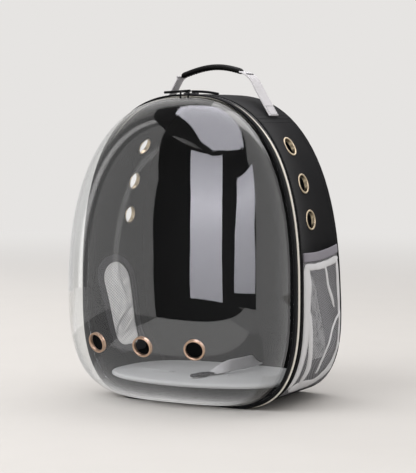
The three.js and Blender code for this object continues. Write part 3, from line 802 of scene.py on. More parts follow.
def piece(name, shape, slot, nodes=(), material=None, closed=True, weld=0.0):
    """Mesh object that rides on the root body and stands for the CAD nodes named."""
    points, faces, uvs = shape
    mesh = bpy.data.meshes.new(name)
    mesh.from_pydata([place_in_row(p) for p in points], [], faces)
    layer = mesh.uv_layers.new(name="UVMap")
    layer.data.foreach_set("uv", np.array([c for uv in uvs for pair in uv for c in pair]) * MM)
    mesh.materials.append(MATERIALS[material or slot])
    work = bmesh.new()
    work.from_mesh(mesh)
    if weld:
        bmesh.ops.remove_doubles(work, verts=work.verts, dist=weld * MM)
    if closed:
        bmesh.ops.recalc_face_normals(work, faces=work.faces)
    work.to_mesh(mesh)
    work.free()
    mesh.polygons.foreach_set("use_smooth", [True] * len(mesh.polygons))
    made = bpy.data.objects.new(name, mesh)
    bpy.context.scene.collection.objects.link(made)
    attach(made, "root")
    if nodes:
        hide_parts(*nodes)
    return made


def crease(made, degrees=40):
    """Keeps hard edges hard on a smooth-shaded piece."""
    made.data.set_sharp_from_angle(angle=math.radians(degrees))


def layers_of(indices, count):
    """Vertices of some of a sweep's loops, where each loop has that many points."""
    return [i * count + k for i in indices for k in range(count)]


def puff(made, held, cap):
    """Cloth simulation that swells a pad between the vertices it is sewn at.
    No point moves further than cap."""
    group = made.vertex_groups.new(name="sewn")
    group.add(held, 1.0, "REPLACE")
    cloth = made.modifiers.new("puff", "CLOTH")
    cloth.settings.vertex_group_mass = group.name
    cloth.settings.use_pressure = True
    cloth.settings.uniform_pressure_force = PUFF["pressure"]
    cloth.settings.effector_weights.gravity = 0
    for number in range(1, PUFF["frames"] + 1):
        bpy.context.scene.frame_set(number)
    swollen = made.evaluated_get(bpy.context.evaluated_depsgraph_get()).data
    shifts = [there.co - here.co for there, here in zip(swollen.vertices, made.data.vertices)]
    made.modifiers.remove(cloth)
    made.vertex_groups.remove(group)
    bpy.context.scene.frame_set(1)
    for vertex, shift in zip(made.data.vertices, shifts):
        vertex.co += shift * min(1, cap * MM / max(shift.length, 1e-9))
    made.data.update()


def add_camera():
    data = bpy.data.cameras.new("camera")
    data.sensor_width = SENSOR
    data.lens = SENSOR * CAMERA["focal_px"] / IMAGE_LONG_SIDE_PX
    made = bpy.data.objects.new("camera", data)
    around = math.radians(CAMERA["azimuth"])
    reach = CAMERA["distance"]
    made.location = (math.sin(around) * reach, -math.cos(around) * reach, CAMERA["height"])
    tilt = math.radians(90 - CAMERA["pitch"])
    made.rotation_euler = (tilt, 0, around + math.radians(CAMERA["yaw"]))
    bpy.context.scene.collection.objects.link(made)
    bpy.context.scene.camera = made


def build_tether():
    """Short webbing tether from near the mat's back edge to its clip, tilted on its edge in between."""
    route = smooth_route(TETHER_ROUTE, 84)
    spans = np.linspace(0, 1, len(TETHER_TILTS))

    def tilted(tangent, share):
        level = Vector((tangent.y, -tangent.x, 0)).normalized()
        return Quaternion(tangent, math.radians(np.interp(share, spans, TETHER_TILTS))) @ level

    section = strap_section(TETHER["width"], TETHER["thick"], edge_steps=4, flat_steps=4)
    strap = piece("tether_strap_soft", ribbon(route, tilted, section), "light_webbing", ["tether_strap"],
                  material="tether_webbing")
    start, ahead = route[0], route[3] - route[0]
    heading = math.atan2(ahead.y, ahead.x)
    clip = build_clip(start, heading)


def build_clip(start, heading):
    """Swivel snap hook: strap eye, swivel, body with its lever, and the hook's loop."""
    forward = Vector((-math.cos(heading), -math.sin(heading), 0))
    side = Vector((-forward.y, forward.x, 0))
    up = Vector((0, 0, 1))
    level = MAT["low"] + MAT["thick"] + GAP + CLIP_THICK / 2
    base = Vector((start.x, start.y, level)) + forward * GAP
    turn = Matrix((forward, side, up)).transposed()

    def local(along, across):
        return base + forward * along + side * across

    def loop_tube(sizes):
        route = []
        for a in full_turn(sizes["count"]):
            route.append(local(sizes["at"] + sizes["along"] * math.cos(a), sizes["across"] * math.sin(a)))
        loops = []
        for before, p, after in zip(route[-1:] + route[:-1], route, route[1:] + route[:1]):
            wide = (after - before).normalized().cross(up).normalized()
            spokes = [wide * math.cos(a) + up * math.sin(a) for a in full_turn(12)]
            loops.append([p + spoke * sizes["radius"] for spoke in spokes])
        return sweep(loops, ring=True)

    def block(sizes):
        return rounded_box(sizes["size"], local(*sizes["at"]), turn, power=sizes["power"])

    swivel, body, lever = (block(sizes) for sizes in (CLIP_SWIVEL, CLIP_BODY, CLIP_LEVER))
    shape = join(loop_tube(CLIP_EYE), swivel, body, loop_tube(CLIP_HOOK), lever)
    return piece("tether_clip_soft", shape, "dark_plastic", ["tether_clip"])


def build_dome():
    """Bubble: fine inner and outer faces with a rim, holes under the eyelets."""
    rows = steps(1, 3, 116)
    angles = steps(0, math.pi, 150)
    spots = [dome_spot(x, DOME_EYELET_Z) for _, x in DOME_EYELETS]
    outer = [[Vector(dome_point(u, a, 0)) for a in angles] for u in rows]
    inner = [[Vector(dome_point(u, a, DOME_WALL)) for a in angles] for u in rows]
    points, faces, uvs = slab(outer, inner)
    points = np.array(points)
    reach = 12
    drop = set()
    for place, direction in spots:
        offset = points - np.array(place)
        along = offset @ np.array(direction)
        radial = offset - np.outer(along, np.array(direction))
        radius = np.linalg.norm(radial, axis=1)
        within = (np.abs(along) < reach) & (radius < EYELET["hole"])
        gone = {i for i, face in enumerate(faces) if all(within[k] for k in face)}
        drop |= gone
        rim = {k for i in gone for k in faces[i]}
        kept = {k for i, face in enumerate(faces) if i not in gone for k in face}
        move = sorted(rim & kept)
        points[move] += radial[move] * (EYELET["hole"] / radius[move] - 1)[:, None]
    shape = (
        [tuple(p) for p in points],
        [face for i, face in enumerate(faces) if i not in drop],
        [uv for i, uv in enumerate(uvs) if i not in drop],
    )
    dome = piece("dome_window_clear", shape, "clear_pvc", ["dome_window"], weld=0.01)
    close_holes(dome)
    for (side, _), (place, direction) in zip(DOME_EYELETS, spots):
        name = f"dome_eyelet_{side}"
        piece(f"{name}_ring", eyelet(place, direction, DOME_WALL, DOME_SLACK), "brass", [name])


def close_holes(made):
    """Joins the two faces of a wall round each hole that was cut through it."""
    work = bmesh.new()
    work.from_mesh(made.data)
    open_edges = [edge for edge in work.edges if edge.is_boundary]
    if open_edges:
        bmesh.ops.bridge_loops(work, edges=open_edges, use_pairs=True)
    bmesh.ops.recalc_face_normals(work, faces=work.faces)
    work.to_mesh(made.data)
    work.free()


def eyelet(place, direction, wall, slack):
    """Spool that lines a hole, with a rolled flange on each face and a bore that opens out at its ends."""
    bore, tube, thick = (EYELET[k] for k in ("bore", "tube", "thick"))
    out, back = slack["out"], -wall - slack["back"]

    def roll(flange, height, way):
        """Half round from the flange's edge over to the bore."""
        middle, half = (flange + bore) / 2, (flange - bore) / 2
        angles = steps(0, math.pi, 12)
        return [(middle + half * math.cos(a), height + way * thick * math.sin(a)) for a in angles]

    front, rear = roll(EYELET["flange"], out, 1), roll(slack["rear"], back, -1)
    profile = [*front, *reversed(rear), (tube, back), (tube, out)]
    return lathe(profile, place, direction, 48)


def band_section(sizes, count, power):
    """Rounded section of a band, from its limits of Y and of the distance from the outline."""
    section = []
    for angle in full_turn(count):
        a, b = rounded_square(angle, power)
        grow = mix(sizes["inner"], sizes["outer"], (a + 1) / 2)
        section.append((grow, mix(sizes["y0"], sizes["y1"], (b + 1) / 2)))
    return section


def build_front_frame():
    """Binding, piping and zip tape round the front, with the zip's teeth and the binding's stitches."""
    section = band_section(BINDING, 24, 5)
    lip = frame_ring(band_section(BINDING_LIP, 16, 5), PIPING["drop"])
    tape = frame_ring(section, BINDING["drop"], (BINDING["inner"], BINDING["outer"]))
    piece("dome_binding_tape", join(tape, lip), "black_trim", ["dome_binding"])
    radius, y, outset = PIPING["radius"], PIPING["y"], PIPING["outset"]
    round_section = [(outset + radius * math.cos(a), y + radius * math.sin(a)) for a in full_turn(14)]
    piece("front_piping_cord", frame_ring(round_section, PIPING["drop"]), "cream_piping", ["front_piping"])
    piece("zip_tape_cloth", frame_ring(band_section(ZIP, 20, 8)), "black_trim", ["zip_tape"])
    build_zip_teeth()
    path, normals = frame_path(BINDING["outer"] - 0.1, mix(BINDING["y0"], BINDING["y1"], 0.35))
    path = [(x, y, z - crest_drop(z, BINDING["drop"])) for x, y, z in path]
    stitches = stitch_row(path, normals, closed=True)
    piece("binding_stitches", stitches, "black_trim", material="thread_black")


def frame_path(grow, y, count=288):
    """Points round the front frame and the directions out of it."""
    path, normals = [], []
    for u in steps(-3, 3, count)[1:]:
        x, z = outline_at(u, grow)
        x1, z1 = outline_at(u, grow + 1)
        path.append((x, y, max(z, FLOOR_CLEARANCE)))
        normals.append(Vector((x1 - x, 0, z1 - z)).normalized())
    return path, normals


def build_zip_teeth():
    """Zip chain along the middle of the tape: small blocks set forward and back in turn."""
    path, normals = frame_path(ZIP["outer"], (ZIP["y0"] + ZIP["y1"]) / 2, 1400)
    pts = np.array(path)
    run = np.array(run_lengths([Vector(p) for p in path]))
    along, across, high = (ZIP_TOOTH[k] for k in ("along", "across", "high"))
    side = Vector((0, 1, 0))
    shapes = []
    for i in range(int(run[-1] / ZIP_TOOTH["pitch"])):
        k = int(np.searchsorted(run, i * ZIP_TOOTH["pitch"]))
        normal = normals[k]
        tangent = Vector(pts[(k + 1) % len(pts)] - pts[k - 1]).normalized()
        middle = Vector(pts[k]) + side * ZIP_TOOTH["step"] * (-1) ** i + normal * ZIP_TOOTH["lift"]
        loops = []
        for h, part in ZIP_TOOTH_SECTIONS:
            ring = []
            for a, b in ((1, 1), (1, -1), (-1, -1), (-1, 1)):
                flat = tangent * a * along / 2 * part + side * b * across / 2 * part
                ring.append(middle + flat + normal * h * high)
            loops.append(ring)
        shapes.append(sweep(loops))
    crease(piece("zip_teeth", join(*shapes), "dark_plastic"))


def top_fall(x):
    """How far the outline lies below its top at a distance from the middle."""
    return (HEIGHT - WIDEST_Z) * (1 - (1 - (x / HALF_WIDTH) ** TOP_POWER) ** (1 / TOP_POWER))


def build_zip_pulls():
    """Two sliders meet at the top, each with a tab and a ribbon pull that lies along the tape."""
    y = (ZIP["y0"] + ZIP["y1"]) / 2
    ride = HEIGHT + ZIP_TOP["ride"]
    for name, sign in SIDES:
        middle = sign * (ZIP_TOP["slider"] / 2 + ZIP_TOP["slider_gap"])
        size = (ZIP_TOP["slider"], ZIP_BODY["across"], ZIP_BODY["high"])
        body = rounded_box(size, (middle, y, ride + ZIP_BODY["high"] / 2))
        bridge = rounded_box(ZIP_BRIDGE["size"], (middle, y, ride + ZIP_BRIDGE["up"]), power=3)
        hang = smooth_route([(middle, y + ahead, HEIGHT + up) for ahead, up in ZIP_TAB_ROUTE], 24)
        tab = ribbon(hang, lambda tangent, share: Vector((1, 0, 0)), strap_section(*ZIP_TAB))
        piece(f"zip_slider_{name}_body", join(body, bridge), "dark_plastic", [f"zip_slider_{name}"])
        start, end = ZIP_TOP["pull_gap"], ZIP_TOP["pull_gap"] + ZIP_TOP["pull"]
        route = []
        for x in steps(start, end, 16):
            fall = top_fall(x) if sign > 0 else ZIP_TOP["droop"] * (x - mix(start, end, 0.5))
            route.append(Vector((sign * x, y, ride + ZIP_TOP["lift"] - fall)))
        strip = ribbon(route, lambda tangent, share: Vector((0, 1, 0)), strap_section(*ZIP_STRIP))
        piece(f"zip_pull_{name}_strip", join(strip, tab), "black_trim", [f"zip_pull_{name}"])


# Fabric body

def wrinkle(point, size, height):
    """Slow unevenness of soft cloth, in millimetres."""
    place = Vector(point)
    return height * noise.noise(place / size) + 0.35 * height * noise.noise(place / (size * 0.42))


def edge_fade(s, width=0.12):
    """0 at both ends of a run from 0 to 1, and 1 in between."""
    return smoothstep(min(s, 1 - s), 0, width)


def plain_panel(us, vs, height=0.9):
    """Wall panel whose cloth is a little uneven between its seams."""
    outer, inner = [], []
    for i, u in enumerate(us):
        fade_u = edge_fade(i / (len(us) - 1))
        row_out, row_in = [], []
        for k, v in enumerate(vs):
            here = wall_point(u, v, 0)
            move = wrinkle(here, 38, height) * fade_u * edge_fade(k / (len(vs) - 1))
            row_out.append(Vector(wall_point(u, v, min(move, 0.3))))
            row_in.append(Vector(wall_point(u, v, -WALL)))
        outer.append(row_out)
        inner.append(row_in)
    return slab(outer, inner)


def arch_loop(extra, count=14):
    """The side window's outline grown by extra, as pairs of depth and height."""
    y, half, low, high, corner = (WINDOW[k] for k in ("y", "half", "low", "high", "corner"))
    wide = half + extra
    loop = []
    for cy, cz, radius, start in (
        (y + wide - corner, low - extra + corner, corner, -90),
        (y, high - half, wide, 0),
        (y - wide + corner, low - extra + corner, corner, 180),
    ):
        sweep_by = 180 if radius == wide else 90
        for angle in steps(math.radians(start), math.radians(start + sweep_by), count):
            loop.append((cy + radius * math.cos(angle), cz + radius * math.sin(angle)))
    dense = []
    for (y0, z0), (y1, z1) in zip(loop, loop[1:] + loop[:1]):
        span = max(int(math.hypot(y1 - y0, z1 - z0) / 4), 1)
        dense += [(mix(y0, y1, k / span), mix(z0, z1, k / span)) for k in range(span)]
    middle = (low + high) / 2
    return [(py + WINDOW["lean"] * (middle - pz), pz) for py, pz in dense]


def on_wall(y, z, grow):
    u = outline_u(z)
    return wall_point(u, wall_v(y, z), grow)


PANEL_WIDTH = 130


def side_panel_shape(spots):
    """Side wall cut out for its eyelets and its window. Flat places are depth share by run up the wall."""
    us = np.array(steps(outline_u(BASE_SEAM_Z), outline_u(TOP_SEAM_Z), 400))
    run = np.array(run_lengths([Vector((*outline_at(u), 0)) for u in us]))

    def flat_of(y, z):
        return wall_v(y, z) * PANEL_WIDTH, float(np.interp(outline_u(z), us, run))

    def uv_of(flat):
        return float(np.interp(flat[1], run, us)), flat[0] / PANEL_WIDTH

    holes = [[flat_of(y, z) for y, z in arch_loop(0)]]
    for place, direction in spots:
        side = Vector((0, 1, 0)).cross(direction).normalized()
        ring = []
        for angle in full_turn(24):
            spoke = Vector((0, 1, 0)) * math.cos(angle) + side * math.sin(angle)
            p = place + spoke * EYELET["hole"]
            ring.append(flat_of(p.y, p.z))
        holes.append(ring)
    flat, triangles = flat_panel(PANEL_WIDTH, float(run[-1]), holes, 5.0)

    def outer_at(p):
        u, v = uv_of(p)
        fade = edge_fade(v) * edge_fade(p[1] / run[-1])
        move = wrinkle(wall_point(u, v, 0), 42, 1.0) * fade
        return wall_point(u, v, min(move, 0.25))

    def inner_at(p):
        u, v = uv_of(p)
        return wall_point(u, v, -WALL)

    return thick_panel(flat, triangles, outer_at, inner_at)


def window_band_shape():
    """Bound edge round the window, on the inside of the wall."""
    band, thick = WINDOW["band"], WINDOW["thick"]
    face = -WALL - GAP
    section = []
    for angle in full_turn(16):
        a, b = rounded_square(angle, 4)
        section.append((band * (a + 1) / 2, face - thick * (b + 1) / 2))
    rings = [arch_loop(extra) for extra, _ in section]
    count = min(len(ring) for ring in rings)
    even = []
    for ring in rings:
        run = np.array(run_lengths([Vector((*p, 0)) for p in ring], closed=True))
        pts = np.array(ring + ring[:1])
        at = np.linspace(0, run[-1], count, endpoint=False)
        even.append([(np.interp(s, run, pts[:, 0]), np.interp(s, run, pts[:, 1])) for s in at])
    loops = [[on_wall(*even[k][i], section[k][1]) for k in range(len(section))] for i in range(count)]
    return sweep(loops, ring=True)


def window_mesh_shape():
    """Net inside the window's outline."""
    spacing = WINDOW_NET["spacing"]
    loop = arch_loop(-GAP)
    ys, zs = [p[0] for p in loop], [p[1] for p in loop]
    low = (min(ys), min(zs))
    width, height = max(ys) - low[0], max(zs) - low[1]
    spread_out, _ = flat_panel(width, height, [], spacing)
    local = [(y - low[0], z - low[1]) for y, z in loop]
    points, edges = list(local), [(k, (k + 1) % len(local)) for k in range(len(local))]
    rims = np.array(local)
    for p in spread_out:
        if inside(p, local) and np.min(np.hypot(rims[:, 0] - p[0], rims[:, 1] - p[1])) > 0.6 * spacing:
            points.append(p)
    flat, faces = triangles_between(points, edges, lambda p: inside(p, local))
    shape_points = [on_wall(y + low[0], z + low[1], WINDOW_NET["grow"]) for y, z in flat]
    return shape_points, faces, [tuple(flat[k] for k in face) for face in faces]


def build_side(name, sign):
    """Side wall with its eyelets, and its window's net and bound edge."""
    spots = []
    for height in SIDE_EYELET_HEIGHTS:
        u = outline_u(height)
        spots.append((Vector(wall_point(u, SIDE_EYELET_V, 0)), wall_normal(u, SIDE_EYELET_V)))
    panel = piece(f"side_panel_{name}_cloth", mirror(side_panel_shape(spots), sign), "black_fabric",
                  [f"side_panel_{name}"])
    crease(panel, 60)
    for i, (place, direction) in enumerate(spots, 1):
        node_name = f"side_eyelet_{name}_{i}"
        shape = mirror(eyelet(place, direction, WALL, WALL_SLACK), sign)
        piece(f"{node_name}_ring", shape, "brass", [node_name], material="antique_brass")
    band = piece(f"window_binding_{name}_tape", mirror(window_band_shape(), sign), "grey_elastic",
                 [f"window_binding_{name}"], material="dark_binding")
    mesh = piece(f"window_mesh_{name}_net", mirror(window_mesh_shape(), sign), "white_mesh",
                 [f"window_mesh_{name}"], material="window_net", closed=False)


def pocket_lift(s, t):
    across = max(math.sin(math.pi * t), 0) ** 0.7
    return POCKET["clear"] + POCKET["bulge"] * across * math.sin(math.pi * POCKET["mouth"] * s)


def pocket_edge_z(t):
    return mix(POCKET_EDGE["front"], POCKET_EDGE["back"], t) - POCKET_EDGE["sag"] * math.sin(math.pi * t)


def fold_line(s, t, line, width):
    """How near a place is to a fold between two places, from 0 to 1."""
    (s0, t0), (s1, t1) = line
    ds, dt = s1 - s0, t1 - t0
    k = min(max(((s - s0) * ds + (t - t0) * dt) / (ds * ds + dt * dt), 0), 1)
    far = math.hypot(s - s0 - k * ds, t - t0 - k * dt)
    return math.exp(-((far / width) ** 2)) * math.sin(math.pi * min(max(k, 0.06), 0.94))


# Folds of the slack net: two ends as (s, t), width and height
POCKET_FOLDS = (
    (((0.97, 0.58), (0.64, 0.74)), 0.030, 2.2),
    (((0.56, 0.94), (0.20, 0.40)), 0.030, 2.4),
    (((0.50, 0.12), (0.10, 0.22)), 0.035, 1.8),
)
# Hems and gathers, where the net is doubled, and pale strips along the folds, partly doubled net and partly a
# painted highlight for the folds' sheen: route of (s, t) places, half width and crown in millimetres
POCKET_BANDS = (
    (((0.985, 0.06), (0.8, 0.065), (0.55, 0.03), (0.3, 0.015), (0.06, 0.03)), 8.0, 0.5),
    (((0.965, 0.02), (0.962, 0.3), (0.962, 0.7), (0.965, 0.98)), 4.2, 0.5),
    (((0.97, 0.94), (0.7, 0.93), (0.4, 0.93), (0.22, 0.9), (0.1, 0.82)), 6.0, 0.6),
    (((0.16, 0.9), (0.09, 0.7), (0.07, 0.4), (0.06, 0.06)), 9.5, 0.8),
    (((0.34, 0.95), (0.2, 0.8), (0.12, 0.6), (0.08, 0.42)), 3.8, 1.1),
    (((0.96, 0.585), (0.82, 0.61), (0.64, 0.74)), 2.4, 1.2),
    (((0.58, 0.93), (0.46, 0.62), (0.3, 0.46), (0.18, 0.4)), 1.9, 1.2),
    (((0.64, 0.09), (0.42, 0.13), (0.22, 0.18), (0.07, 0.23)), 4.2, 1.0),
)


def pocket_place(s, t, more=0.0):
    """Place on the slack net: s runs up from its bottom seam, and t from front to back."""
    s, t = min(max(s, 0), 1), min(max(t, 0), 1)
    v = mix(POCKET["v0"], POCKET["v1"], t)
    u = outline_u(mix(POCKET["low"], pocket_edge_z(t), s))
    rise = sum(fold_line(s, t, line, width) * high for line, width, high in POCKET_FOLDS)
    gathers = 0.6 * math.sin(11 * math.pi * t + 2 * s) * smoothstep(s, 0.7, 1)
    loose = wrinkle(wall_point(u, v, 0), 24, 1.1) + gathers
    lift = pocket_lift(s, t) + 0.6 + (rise + loose) * edge_fade(s, 0.08) * edge_fade(t, 0.08)
    return Vector(wall_point(u, v, max(lift, POCKET["clear"]) + more))


def pocket_band(route, half, crown):
    """Strip of pale doubled cloth that lies on the net along a route; along a fold it is also a painted
    highlight.
    """
    step = 0.004
    line = smooth_route([(s, t, 0) for s, t in route], 36)
    loops = []
    for i, (place, way) in enumerate(zip(line, tangents(line))):
        s, t = place.x, place.y
        by_s = (pocket_place(s + step, t) - pocket_place(s - step, t)) / (2 * step)
        by_t = (pocket_place(s, t + step) - pocket_place(s, t - step)) / (2 * step)
        along = (by_s * way.x + by_t * way.y).normalized()
        across = by_s.cross(by_t).cross(along).normalized()
        turn = np.linalg.lstsq(np.array([by_s, by_t]).T, np.array(across), rcond=None)[0]
        uneven = 1 + 0.22 * noise.noise(Vector((7 * s, 9 * t, half)))
        wide = half * uneven * min(1, 0.45 + 0.2 * min(i, 36 - i))
        at = lambda w, more: pocket_place(s + turn[0] * w * wide, t + turn[1] * w * wide, more)
        upper = [at(w, 0.4 + crown * (1 - w * w)) for w in (-1, -0.5, 0, 0.5, 1)]
        lower = [at(w, 0.1) for w in (1, 0.5, 0, -0.5, -1)]
        loops.append(upper + lower)
    return sweep(loops)


def build_pocket(name, sign):
    """Mesh pocket, gathered by its elastic edge, with the folds of a slack sheet."""
    ts = steps(0, 1, 60)
    rows = steps(0, 1, 72)
    shape = grid_sheet([[pocket_place(s, t) for t in ts] for s in rows])
    mesh = piece(f"pocket_mesh_{name}_net", mirror(shape, sign), "white_mesh", [f"pocket_mesh_{name}"],
                 closed=False)
    # Pale strips of hems and gathers, and along the folds a painted highlight as well
    hems_and_fold_sheen = join(*(pocket_band(*band) for band in POCKET_BANDS))
    hem = piece(f"pocket_hem_and_fold_sheen_{name}", mirror(hems_and_fold_sheen, sign), "white_mesh", material="hem_cloth")
    rim = piece(f"pocket_binding_{name}_elastic", mirror(pocket_rim_shape(), sign), "grey_elastic",
                [f"pocket_binding_{name}"])


def pocket_rim_shape():
    """Elastic band round the pocket's mouth."""
    width, thick = POCKET_EDGE["width"], POCKET_EDGE["thick"]
    loops = []
    for t in steps(0, 1, 48):
        v = mix(POCKET["v0"], POCKET["v1"], t)
        loop = []
        for angle in full_turn(18):
            a, b = rounded_square(angle, 4)
            z = pocket_edge_z(t) + mix(GAP, width, (a + 1) / 2)
            loop.append(wall_point(outline_u(z), v, pocket_lift(1, t) + thick * (b + 1) / 2))
        loops.append(loop)
    return sweep(loops)


def build_body():
    """Fabric walls with their windows, pockets and seams."""
    vs = steps(0, 1, 28)
    top_u = outline_u(TOP_SEAM_Z) + SEAM_STEP_U
    top_shape = plain_panel(steps(top_u, 6 - top_u, 64), vs)
    top = piece("top_panel_cloth", top_shape, "black_fabric", ["top_panel"])
    base_u = outline_u(BASE_SEAM_Z) - SEAM_STEP_U
    base_shape = plain_panel(steps(-base_u, base_u, 64), vs, 0.0)
    base = piece("base_panel_cloth", base_shape, "black_fabric", ["base_panel"])
    for made in (top, base):
        crease(made, 60)
    build_back()
    for name, sign in SIDES:
        build_side(name, sign)
        build_pocket(name, sign)
    build_seams()


def build_back():
    """Back panel: a thin pad, crowned between its bound edge and a sewn line inside it."""
    count = 160
    us = steps(-3, 3, count)[1:]
    squeeze = 1 - BACK_TAPER / HALF_WIDTH
    edge, seam = BACK_SEAM["edge"], BACK_SEAM["share"]

    def ring_at(part):
        outline = [outline_at(u) for u in us]
        return [(x * squeeze * part, mix(BACK_MIDDLE_Z, z, part)) for x, z in outline]

    sewn = [i for i, (part, _) in enumerate(BACK_LAYERS) if part > edge or part == seam]
    loops = [[(x, back_y(z) + off, z) for x, z in ring_at(part)] for part, off in BACK_LAYERS]
    pad = piece("back_panel_pad", sweep(loops), "black_fabric", ["back_panel"])
    puff(pad, layers_of(sewn, count), PUFF["back"])
    path = [(x, back_y(z) + BACK_SEAM["stitches"], z) for x, z in ring_at(seam)]
    piece("back_stitches", stitch_row(path, [(0, 1, 0)] * len(path), closed=True), "black_fabric",
          material="thread_black")


def build_seams():
    """Thread beside the seams of the walls."""
    rows = []
    for side, u in ((1, outline_u(TOP_SEAM_Z)), (-1, -outline_u(TOP_SEAM_Z))):
        for off in SEAM_STITCH["beside"]:
            vs = steps(0.02, 0.98, 40)
            path = [wall_point(u + side * off, v, SEAM_STITCH["lift"]) for v in vs]
            normals = [wall_normal(abs(u) + off, v) for v in vs]
            rows.append(stitch_row(path, [(side * n.x, n.y, n.z) for n in normals]))
    for sign in (1, -1):
        us = steps(outline_u(POCKET_EDGE["front"] + 14), outline_u(TOP_SEAM_Z - 2), 60)
        for v in SEAM_STITCH["rows"]:
            path = [wall_point(sign * u, v, SEAM_STITCH["lift"]) for u in us]
            normals = [wall_normal(u, v) for u in us]
            rows.append(stitch_row(path, [(sign * n.x, n.y, n.z) for n in normals]))
    piece("seam_stitches", join(*rows), "black_fabric", material="thread_black")


# Handle and straps

def arch_z(x):
    return mix(ARCH["low"], ARCH["high"], math.cos(math.pi * x / (2 * ARCH["half"])))


def build_handle():
    """Padded grip with its stitches, and a leg of webbing at each end."""
    loops = []
    start, end = GRIP["from"], GRIP["to"]
    for t in (0, 0.004, 0.012, 0.03, *steps(0.05, 0.95, 30), 0.97, 0.988, 0.996, 1):
        x = mix(start, end, t)
        near = min(t, 1 - t) * (end - start)
        fat = 1 - GRIP["pinch"] * max(1 - near / GRIP["round"], 0) ** 2
        loop = []
        for angle in full_turn(24):
            y = HANDLE_Y + GRIP["flatten"] * GRIP["radius"] * fat * math.cos(angle)
            loop.append((x, y, arch_z(x) + GRIP["radius"] * fat * math.sin(angle)))
        loops.append(loop)
    grip = piece("handle_grip_sleeve", sweep(loops), "grip_rubber", ["handle_grip"])
    rows = []
    for sign in (1, -1):
        xs = steps(start + GRIP_STITCH["end"], end - GRIP_STITCH["end"], 60)
        angle = math.radians(GRIP_STITCH["angle"])
        y = HANDLE_Y + sign * GRIP["flatten"] * GRIP["radius"] * math.cos(angle)
        path = [(x, y, arch_z(x) + GRIP["radius"] * math.sin(angle)) for x in xs]
        normal = (0, sign * math.cos(angle), math.sin(angle))
        rows.append(stitch_row(path, [normal] * len(path), length=2.6, gap=1.2, radius=0.28))
    piece("grip_stitches", join(*rows), "grip_rubber", material="thread_black")
    for name, sign in SIDES:
        build_handle_leg(name, sign)


def leg_across(sign):
    """Way across a leg's webbing. The left leg is turned a little between its two sewn ends."""
    def across(tangent, share):
        start, full, easing, end = HANDLE_TWIST["shares"]
        amount = smoothstep(share, start, full) * (1 - smoothstep(share, easing, end))
        turn = math.radians(HANDLE_TWIST["degrees"]) * amount if sign < 0 else 0.0
        return Vector((-math.sin(turn), math.cos(turn), 0))
    return across


def build_handle_leg(name, sign):
    """Webbing from the grip's end down to its sewn foot on the shoulder."""
    grip_end = (GRIP["to"] if sign > 0 else -GRIP["from"]) + HANDLE_END_GAP
    corner = max(grip_end, ARCH["half"])
    lift = HANDLE_WEB["thick"] / 2 + HANDLE_FOOT["lift"]
    foot_x, _, foot_z = wall_point(outline_u(HANDLE_FOOT["z"]), wall_v(HANDLE_Y, HANDLE_FOOT["z"]), lift)
    places = [(x, arch_z(x)) for x in (grip_end, HANDLE_TURN_X) if x >= grip_end]
    places += [(mix(corner, foot_x, s), mix(arch_z(corner), foot_z, s)) for s in HANDLE_LEG_SHARES]
    route = smooth_route([(sign * x, HANDLE_Y, z) for x, z in places], 72)
    section = strap_section(HANDLE_WEB["width"], HANDLE_WEB["thick"])
    leg = piece(f"handle_webbing_{name}_strap", ribbon(route, leg_across(sign), section),
                "light_webbing", [f"handle_webbing_{name}"])
    crease(leg, 70)
    build_leg_stitches(name, sign, route)


def build_leg_stitches(name, sign, route):
    """Sewn box at the foot, and tacks across the turn of a leg that starts short of it."""
    ways = tangents(route)
    out = [Vector((0, 1, 0)).cross(t) * (-sign) for t in ways]
    face = HANDLE_WEB["thick"] / 2
    half = HANDLE_WEB["width"] / 2 - HANDLE_SEWN["inset"]
    at = lambda i, across: route[i] + out[i] * face + Vector((0, across, 0))
    last = len(route) - 2
    first = last - HANDLE_SEWN["steps"]
    corners = [(first, -half), (first, half), (last, half), (last, -half)]
    rows = []
    for (i0, a0), (i1, a1) in zip(corners, corners[1:] + corners[:1]):
        shares = steps(0, 1, 14)
        path = [at(round(mix(i0, i1, k)), mix(a0, a1, k)) for k in shares]
        normals = [out[round(mix(i0, i1, k))] for k in shares]
        rows.append(stitch_row(path, normals, length=2.2, gap=1.0))
    piece(f"foot_stitches_{name}", join(*rows), "light_webbing", material="thread_grey")
    if abs(route[0].x) < HANDLE_TURN_X:
        tack_x = HANDLE_TURN_X + HANDLE_SEWN["past_turn"]
        turn = min(range(len(route)), key=lambda i: abs(abs(route[i].x) - tack_x))
        tacks = []
        for k in (-1, 0, 1):
            path = [at(turn + k, a) for a in (-half, half)]
            tacks.append(stitch_row(path, [out[turn]] * 2, length=3, gap=0.2, radius=0.5))
        piece(f"turn_stitches_{name}", join(*tacks), "light_webbing", material="thread_black")


def strap_places(rows, thick):
    return [(x, back_y(z) + BACK_PAD + off + thick / 2, z) for z, x, off in rows]


